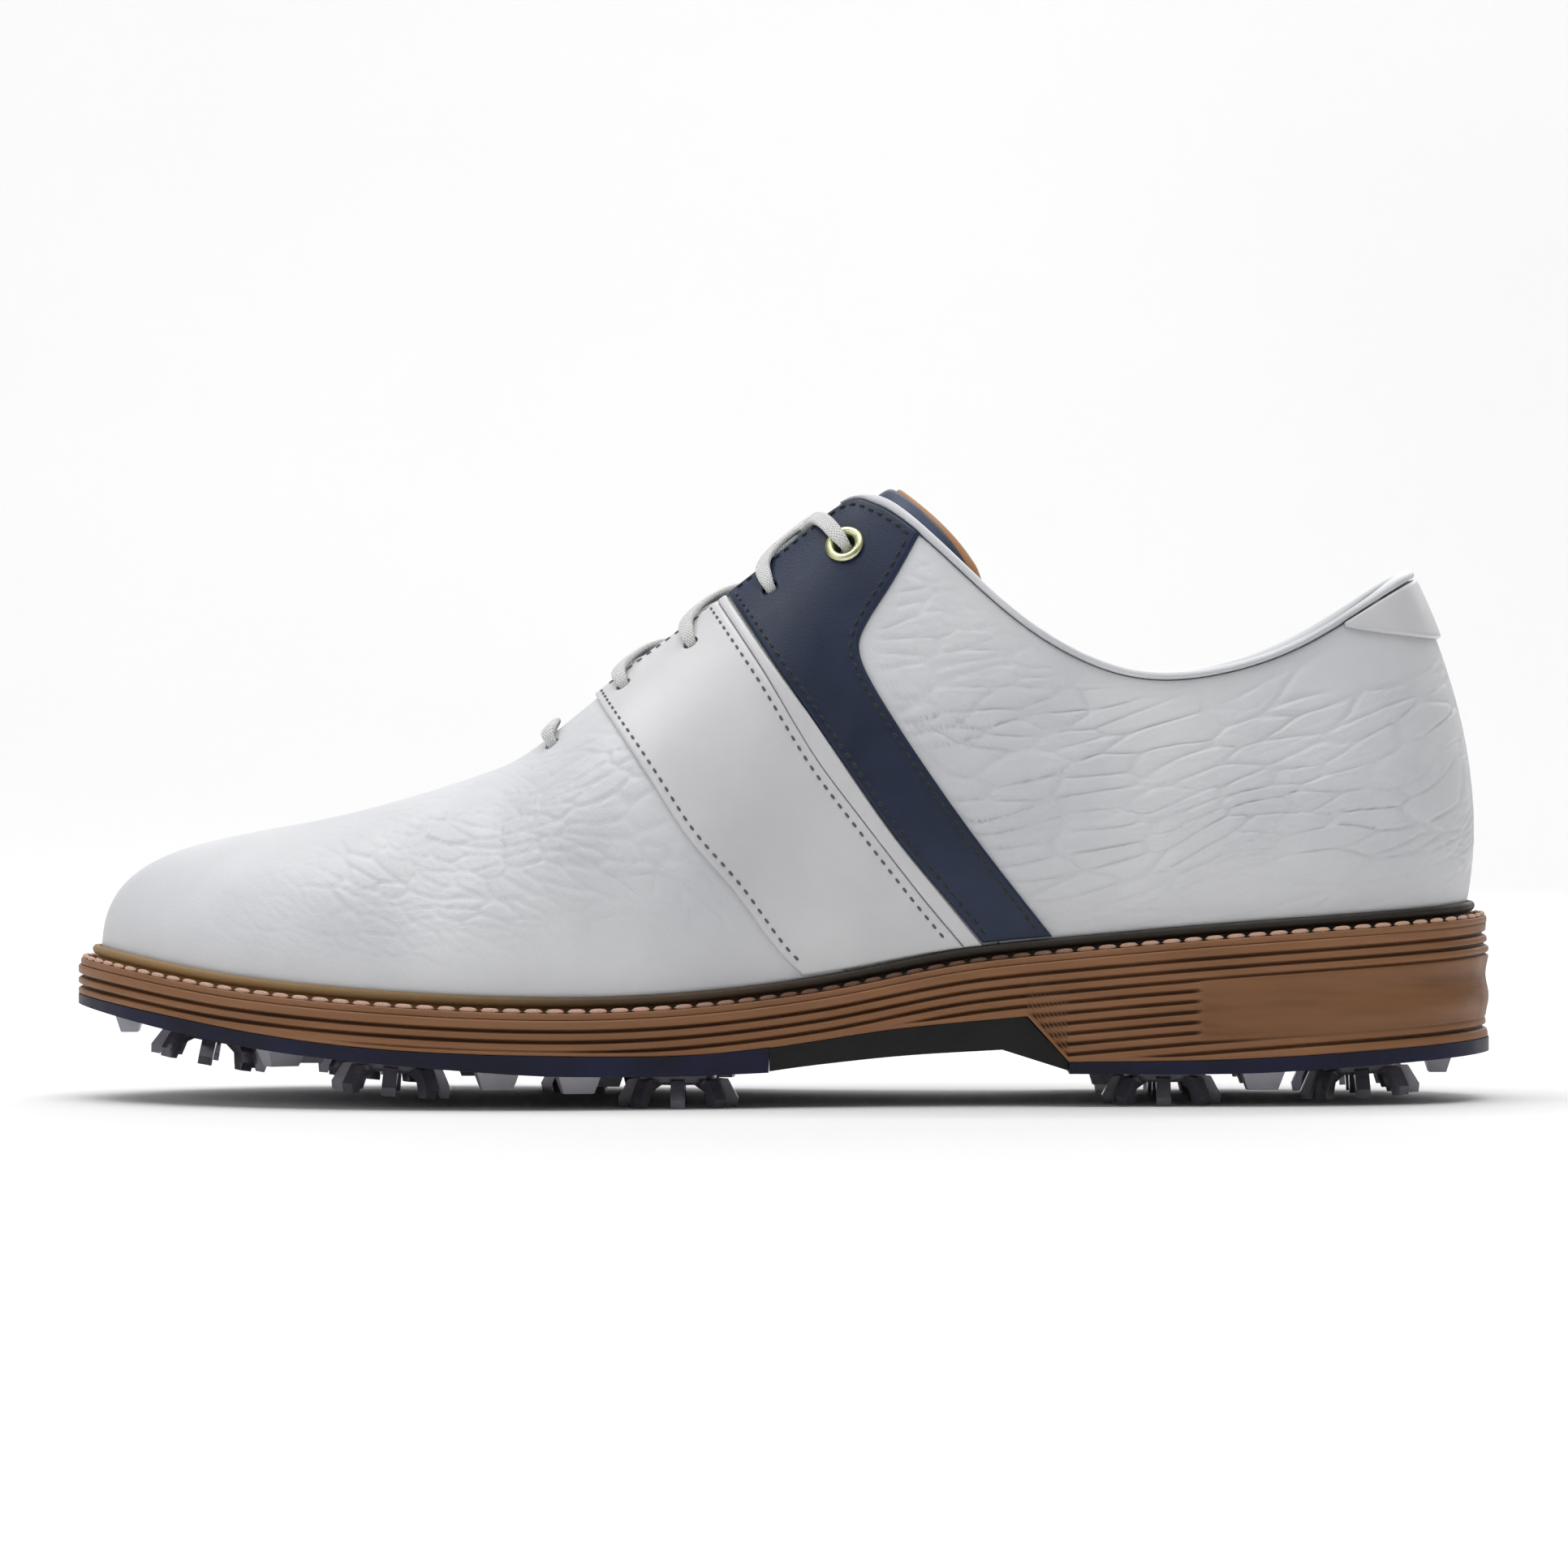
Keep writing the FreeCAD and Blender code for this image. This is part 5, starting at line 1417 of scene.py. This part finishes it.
def make_midsole():
    midsole = sole_body("midsole_body", SOLE_MARGIN, lambda x: feather(x) + PLATE_BOTTOM - GAP,
                        sole_under, 140, groove_mark, heel_wave)
    rods = []
    for name in CLEATS:
        foot, axis = cleat_axis(name)
        rods.append((foot + axis * POCKET_MIDDLE, axis, POCKET_RADIUS, POCKET_HALF))
    cut_holes(midsole, rod_cutters("pockets", rods, 48))
    finished(midsole, "midsole_rubber", ["midsole"])


def make_sockliner():
    sock = sole_body("sockliner_pad", -5.3, lambda x: feather(x) + SOCK_LOW + SOCK_THICK,
                     lambda x: feather(x) + SOCK_LOW, 9)
    finished(sock, "sock_foam", ["sockliner"])


make_welt()
make_midsole()
make_sockliner()

# ---------------------------------------------------------------- the tongue

# One row for each step up the tongue: the station and the height share of its side edges, how
# deep they lie under the upper's surface, and the x and z of its middle line.
TONGUE_ROWS = [
    (13.5, 0.82, 3.5, -63.5, 62.6),
    (12.6, 0.80, 5.2, -57.5, 65.2),
    (11.8, 0.79, 6.6, -48.5, 70.6),
    (10.8, 0.79, 6.6, -33.0, 83.6),
    (9.8, 0.79, 6.6, -17.5, 95.8),
    (8.8, 0.79, 6.6, -2.5, 108.2),
    (7.9, 0.80, 6.6, 8.5, 118.4),
    (7.1, 0.86, 7.2, 14.5, 124.2),
    (6.3, 0.93, 8.2, 19.5, 128.2),
    (5.60, 1.00, 9.2, 22.4, 131.4),
]
TONGUE_ARCH = 0.25
TONGUE_FLARE = 2.7
TONGUE_FLARE_WAY = np.array([0.65, 0.0, 0.76])
TONGUE_THICK = 6.75
tongue_lines = [Profile(list(enumerate(column))) for column in zip(*TONGUE_ROWS)]


def tongue_section(row):
    u, v, depth, middle_x, middle_z = (line(row) for line in tongue_lines)
    v = np.minimum(v, 1.0)
    ends = [skin(on_side(side, u), v, -depth) for side in SIDES]
    middle = (ends[0] + ends[1]) / 2
    zero = np.zeros_like(middle_x)
    lift = np.stack([middle_x - middle[..., 0], zero, middle_z - middle[..., 2]], -1) / 0.75
    handles = [end + (middle - end) * TONGUE_ARCH + lift for end in ends]
    return ends[0], handles[0], handles[1], ends[1]


def tongue_middle(row, across):
    """The tongue's outer surface. Its top end flares, so its edge is rounded from the side."""
    arch = 4 * across * (1 - across)
    flare = TONGUE_FLARE * smooth(row, 5.5, 9.0) * 4 * arch * (1 - arch)
    return bezier(tongue_section(row), across) + flare[..., None] * TONGUE_FLARE_WAY


def tongue_skin(row, across, depth):
    step = 0.02
    low = np.maximum(across - step, 0.0)
    high = np.minimum(across + step, 1.0)
    side_way = tongue_middle(row, high) - tongue_middle(row, low)
    first = np.maximum(row - step, 0.0)
    last = np.minimum(row + step, len(TONGUE_ROWS) - 1.0)
    up_way = tongue_middle(last, across) - tongue_middle(first, across)
    return tongue_middle(row, across) - unit(np.cross(up_way, side_way)) * depth[..., None]


def tongue_half(name, look, replaces, upper):
    """The tongue is a pad sewn round its edge: a leather half and a lining half, each crowned."""
    rows = len(TONGUE_ROWS) - 1
    row, across = np.meshgrid(rows * spaced(110, 110.0), spaced(60, 45.0), indexing="ij")
    base = tongue_middle(row, across)
    low, high = run_lengths(base, 0)
    left, right = run_lengths(base, 1)
    edge = np.minimum(np.minimum(left, right), np.minimum(high, low + 3.0))
    crown = np.sqrt(np.clip(1 - np.clip(1 - edge / 4.5, 0.0, 1.0) ** 2, 0.0, 1.0))
    seam_depth = 0.52 * TONGUE_THICK
    quilt = 0.30 * np.exp(-((np.minimum(left, right) - 3.2) / 0.5) ** 2) * (high > 2.0)
    if upper:
        outer = seam_depth * (1 - crown) * 0.62 + quilt
        inner = flat(seam_depth - 0.03, row)
    else:
        outer = flat(seam_depth + 0.03, row)
        inner = TONGUE_THICK - (TONGUE_THICK - seam_depth) * (1 - crown) * 0.62
    piece = shell_piece(name, tongue_skin(row, across, outer), tongue_skin(row, across, inner))
    finished(piece, look, replaces, body=TONGUE)


tongue_half("tongue_cover", "tongue_leather", ["tongue_outer", "tongue_foam"], True)
tongue_half("tongue_inside", "tan_lining", ["tongue_lining"], False)


def make_tongue_binding():
    """The tan lining rolled over the top edge of the tongue, fuller at its two corners."""
    across = np.linspace(0.015, 0.985, 120)
    row = flat(len(TONGUE_ROWS) - 1.0, across)
    path = tongue_skin(row, across, flat(0.5 * TONGUE_THICK, across))
    back = unit(path - tongue_skin(row - 0.5, across, flat(0.5 * TONGUE_THICK, across)))
    way = unit(np.gradient(path, axis=0))
    first = unit(back - way * np.sum(back * way, -1, keepdims=True))
    second = np.cross(way, first)
    corner = np.abs(2 * across - 1)
    radius = (0.75 + 1.0 * corner ** 1.8) * np.sqrt(np.clip(1 - ((corner - 0.9) / 0.1), 0.02, 1.0))
    rings = []
    for k in range(16):
        angle = 2 * math.pi * k / 16
        spot = first * math.cos(angle) + second * math.sin(angle) * 1.25
        rings.append(path + first * 0.25 + spot * radius[:, None])
    tube_piece("tongue_binding", np.array(rings), "tan_lining", body=TONGUE)


make_tongue_binding()

# ---------------------------------------------------------------- eyelet rings and aglets


def turned(name, corners, middle, axis):
    """A solid of revolution: corners are (radius, height) along the axis."""
    segments = 64
    axis = unit(np.asarray(axis, float))
    first = unit(np.cross(axis, [0.3, 0.9, 0.1]))
    second = np.cross(axis, first)
    angle = np.arange(segments) * 2 * math.pi / segments
    circle = np.cos(angle)[:, None] * first + np.sin(angle)[:, None] * second
    rings = [np.asarray(middle) + circle * radius + axis * height for radius, height in corners]
    return loop_piece(name, np.array(rings), merge=True)


def make_eyelet_ring(side):
    u, v = EYELETS[side][TOP_EYELET]
    corners = [(TOP_EYELET_HOLE, -2.7)]
    half = 0.98
    for k in range(9):
        angle = math.pi * k / 8
        across = TOP_EYELET_HOLE + half - half * math.cos(angle)
        corners.append((across, 1.35 + 0.85 * math.sin(angle)))
    corners += [(4.1, 1.15), (TOP_EYELET_HOLE + 0.25, 1.15), (TOP_EYELET_HOLE + 0.25, -2.55),
                (3.2, -2.55), (3.3, -2.7), (3.2, -2.85), (TOP_EYELET_HOLE + 0.1, -2.85)]
    ring = turned("eyelet_ring_" + side, corners, skin(u, v), skin_normal(u, v))
    finished(ring, "pale_brass", ["top_eyelet_" + side])


for side in SIDES:
    make_eyelet_ring(side)

# ---------------------------------------------------------------- the laced part

LACE_OUT = 2.45
LACE_OVER_EDGE = 3.0
LACE_OVER_BAR = 1.9
LACE_UNDER_EDGE = 4.6
LACE_OVER_RING = 3.6
LACE_HEIGHTS = {MEDIAL: (-2.6, 0.2, 0.2, 0.9), LATERAL: (0.3, 2.1, 2.1, 2.8)}

# Each crossing, from the bottom up: the lace's level at its own eyelet, over or under its own
# edge of the throat, over or under the far edge and at the far eyelet, and how far up towards the
# far eyelet it is at the first edge, in the middle and at the far edge.
CROSSINGS = [
    (-LACE_IN, -LACE_UNDER_EDGE, -LACE_UNDER_EDGE, -LACE_IN, 0.25, 0.50, 0.75),
    (LACE_OUT, LACE_OVER_EDGE, -LACE_UNDER_EDGE, -LACE_IN, -0.08, 0.37, 0.75),
    (LACE_OUT, LACE_OVER_EDGE, -LACE_UNDER_EDGE, -LACE_IN, -0.08, 0.37, 0.75),
    (LACE_OUT, LACE_OVER_EDGE, LACE_OVER_EDGE, LACE_OVER_RING, -0.10, 0.30, 0.52),
]
LACE_HALF_WIDTH = 1.70
LACE_HALF_THICK = 0.80


def over_edge(side, station, height):
    return skin(on_side(side, station), 0.985, height)


def throat_middle(station, height):
    ends = [skin(on_side(side, station), 1.0) for side in SIDES]
    return (ends[0] + ends[1]) / 2 + np.array([0.0, 0.0, height])


def height_station(number):
    return float(heel_distance(EYELETS[LATERAL][number][0]))


def lace_cross(side, number):
    """The lace from one eyelet to the next one up on the other side."""
    near_level, near_edge, far_edge, far_level, first, half, last = CROSSINGS[number]
    low = height_station(number)
    rise = height_station(number + 1) - low
    far = other(side)
    return [eyelet_point(side, number, near_level), over_edge(side, low + rise * first, near_edge),
            throat_middle(low + rise * half, LACE_HEIGHTS[side][number]),
            over_edge(far, low + rise * last, far_edge), eyelet_point(far, number + 1, far_level)]


def strand(side):
    points = []
    here = side
    for number in range(len(CROSSINGS)):
        points.extend(lace_cross(here, number))
        here = other(here)
    return points


def lace_route():
    bar_station = height_station(0)
    bar = [eyelet_point(LATERAL, 0, LACE_OUT), over_edge(LATERAL, bar_station, LACE_OVER_BAR),
           over_edge(MEDIAL, bar_station, LACE_OVER_BAR), eyelet_point(MEDIAL, 0, LACE_OUT)]
    first = strand(LATERAL) + tail_start(LATERAL)
    second = strand(MEDIAL) + tail_start(MEDIAL)
    return np.array(first[::-1] + bar + second)


def quadratic_spline(controls, per_span):
    """Points of the smooth curve of degree two that has these control points."""
    last = len(controls) - 1
    middles = (controls[:-1] + controls[1:]) / 2
    knots = np.concatenate([controls[:1], middles[1:-1], controls[-1:]])
    points = []
    for k in range(1, last):
        start = knots[k - 1]
        end = knots[k]
        t = (np.arange(per_span) / per_span)[:, None]
        points.append(start * (1 - t) ** 2 + controls[k] * 2 * t * (1 - t) + end * t ** 2)
    points.append(knots[-1:])
    return np.concatenate(points)


def make_lace():
    path = quadratic_spline(lace_route(), 12)
    way = unit(np.gradient(path, axis=0))
    facing = unit(np.array([1.0, 0.0, 0.80]))
    wide = unit(facing - way * (way @ facing)[:, None])
    thick = np.cross(way, wide)
    near = np.full(len(path), 99.0)
    for side in SIDES:
        for number in range(TOP_EYELET + 1):
            hole = eyelet_point(side, number, 0.2)
            near = np.minimum(near, np.linalg.norm(path - hole, axis=1))
    run = run_along(path)
    pinch = np.exp(-(near / 2.6) ** 2)
    ends = 1 - smooth(np.minimum(run, run[-1] - run), 0.0, 5.0)
    half_wide = LACE_HALF_WIDTH - 0.60 * pinch - 0.65 * ends
    half_thick = LACE_HALF_THICK + 0.25 * pinch + 0.40 * ends
    sides = 20
    rings = []
    uv = []
    for k in range(sides):
        angle = 2 * math.pi * k / sides
        a = math.copysign(abs(math.cos(angle)) ** 0.75, math.cos(angle))
        b = math.copysign(abs(math.sin(angle)) ** 0.75, math.sin(angle))
        rings.append(path + wide * (half_wide * a)[:, None] + thick * (half_thick * b)[:, None])
        uv.append(np.stack([run / 10.0, np.full_like(run, a * 0.185)], -1))
    tube_piece("laced_part", np.array(rings), "lace_cotton", ["lace"], uv=np.array(uv).reshape(-1, 2))


make_lace()

# ---------------------------------------------------------------- CAD nodes that stay

STAYING = {
    "backing_fabric": ["saddle_backing_lateral", "saddle_backing_medial"],
    "stiffener": ["toe_puff", "heel_counter"],
    "foam": ["collar_foam_lateral", "collar_foam_medial"],
    "aglet_film": ["aglet_lateral", "aglet_medial"],
    "board": ["insole_board"],
    "steel": ["shank"],
    "cork": ["bottom_filler"],
    "bridge_black": ["waist_bridge"],
    "cleat_clear": ["cleat_" + name for name in CLEATS],
    "socket_plastic": ["cleat_receptacles"],
    "outsole_navy": ["outsole_forefoot", "outsole_heel"],
    "lug_grey": ["forefoot_lugs", "heel_lugs"],
}
BEVELLED = {"waist_bridge": 0.8, "outsole_forefoot": 0.35, "outsole_heel": 0.35,
            "forefoot_lugs": 0.3, "heel_lugs": 0.3}


def bevel(node, width):
    modifier = node.modifiers.new("edges", "BEVEL")
    modifier.width = width * MM
    modifier.segments = 2
    modifier.limit_method = "ANGLE"
    modifier.angle_limit = math.radians(38)
    modifier.harden_normals = False


def dress_nodes():
    for look, names in STAYING.items():
        for name in names:
            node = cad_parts[name]
            if not node.material_slots:
                node.data.materials.append(LOOKS[look])
            for place in node.material_slots:
                place.material = LOOKS[look]
            if name in BEVELLED:
                bevel(node, BEVELLED[name])


dress_nodes()

# ---------------------------------------------------------------- floor and light


def make_floor():
    """A pale floor that curves up into a backdrop behind the shoe."""
    near = -6.0
    far = 1.6
    radius = 0.9
    points = [(near, 0.0), (far, 0.0)]
    for k in range(1, 17):
        angle = math.pi / 2 * k / 16
        points.append((far + radius * math.sin(angle), radius * (1 - math.cos(angle))))
    points.append((far + radius, 3.2))
    half = 3.2
    vertices = [(x, y, z) for y, z in points for x in (-half, half)]
    faces = [(2 * k, 2 * k + 1, 2 * k + 3, 2 * k + 2) for k in range(len(points) - 1)]
    mesh = bpy.data.meshes.new("studio_floor")
    mesh.from_pydata(vertices, [], faces)
    mesh.shade_smooth()
    floor = bpy.data.objects.new("studio_floor", mesh)
    link(floor)
    look = Look("studio_paper", 0.9)
    look.colour(look.noise(3.0, 2.0), [(0.3, (0.93, 0.93, 0.93)), (0.7, (0.95, 0.95, 0.95))])
    mesh.materials.append(look.material)


def area_light(name, place, target, size, power, spread=180):
    data = bpy.data.lights.new(name, "AREA")
    data.shape = "RECTANGLE"
    data.size = size[0]
    data.size_y = size[1]
    data.energy = power
    data.spread = math.radians(spread)
    light = bpy.data.objects.new(name, data)
    light.location = place
    light.rotation_euler = (Vector(target) - Vector(place)).to_track_quat("-Z", "Y").to_euler()
    link(light)


def make_light():
    world = bpy.data.worlds.new("studio")
    world.use_nodes = True
    background = world.node_tree.nodes["Background"]
    background.inputs["Color"].default_value = (1.0, 1.0, 1.0, 1.0)
    background.inputs["Strength"].default_value = 0.25
    bpy.context.scene.world = world
    area_light("overhead", (-0.1, -0.15, 1.3), (0.0, 0.0, 0.05), (1.6, 1.0), 13.0)
    area_light("front_left", (-1.3, -0.85, 0.85), (0.0, 0.0, 0.06), (0.8, 0.8), 3.3)
    area_light("rear", (0.5, 1.1, 0.7), (0.0, 0.0, 0.06), (1.2, 0.6), 4.0)
    area_light("backdrop", (0.0, 0.9, 1.9), (0.0, 2.4, 0.5), (2.4, 0.8), 29.0)
    area_light("foreground", (0.0, -0.80, 0.9), (0.0, -0.80, 0.0), (2.6, 0.5), 3.4, spread=50)
    bpy.context.scene.view_settings.view_transform = "Standard"


make_floor()
make_light()
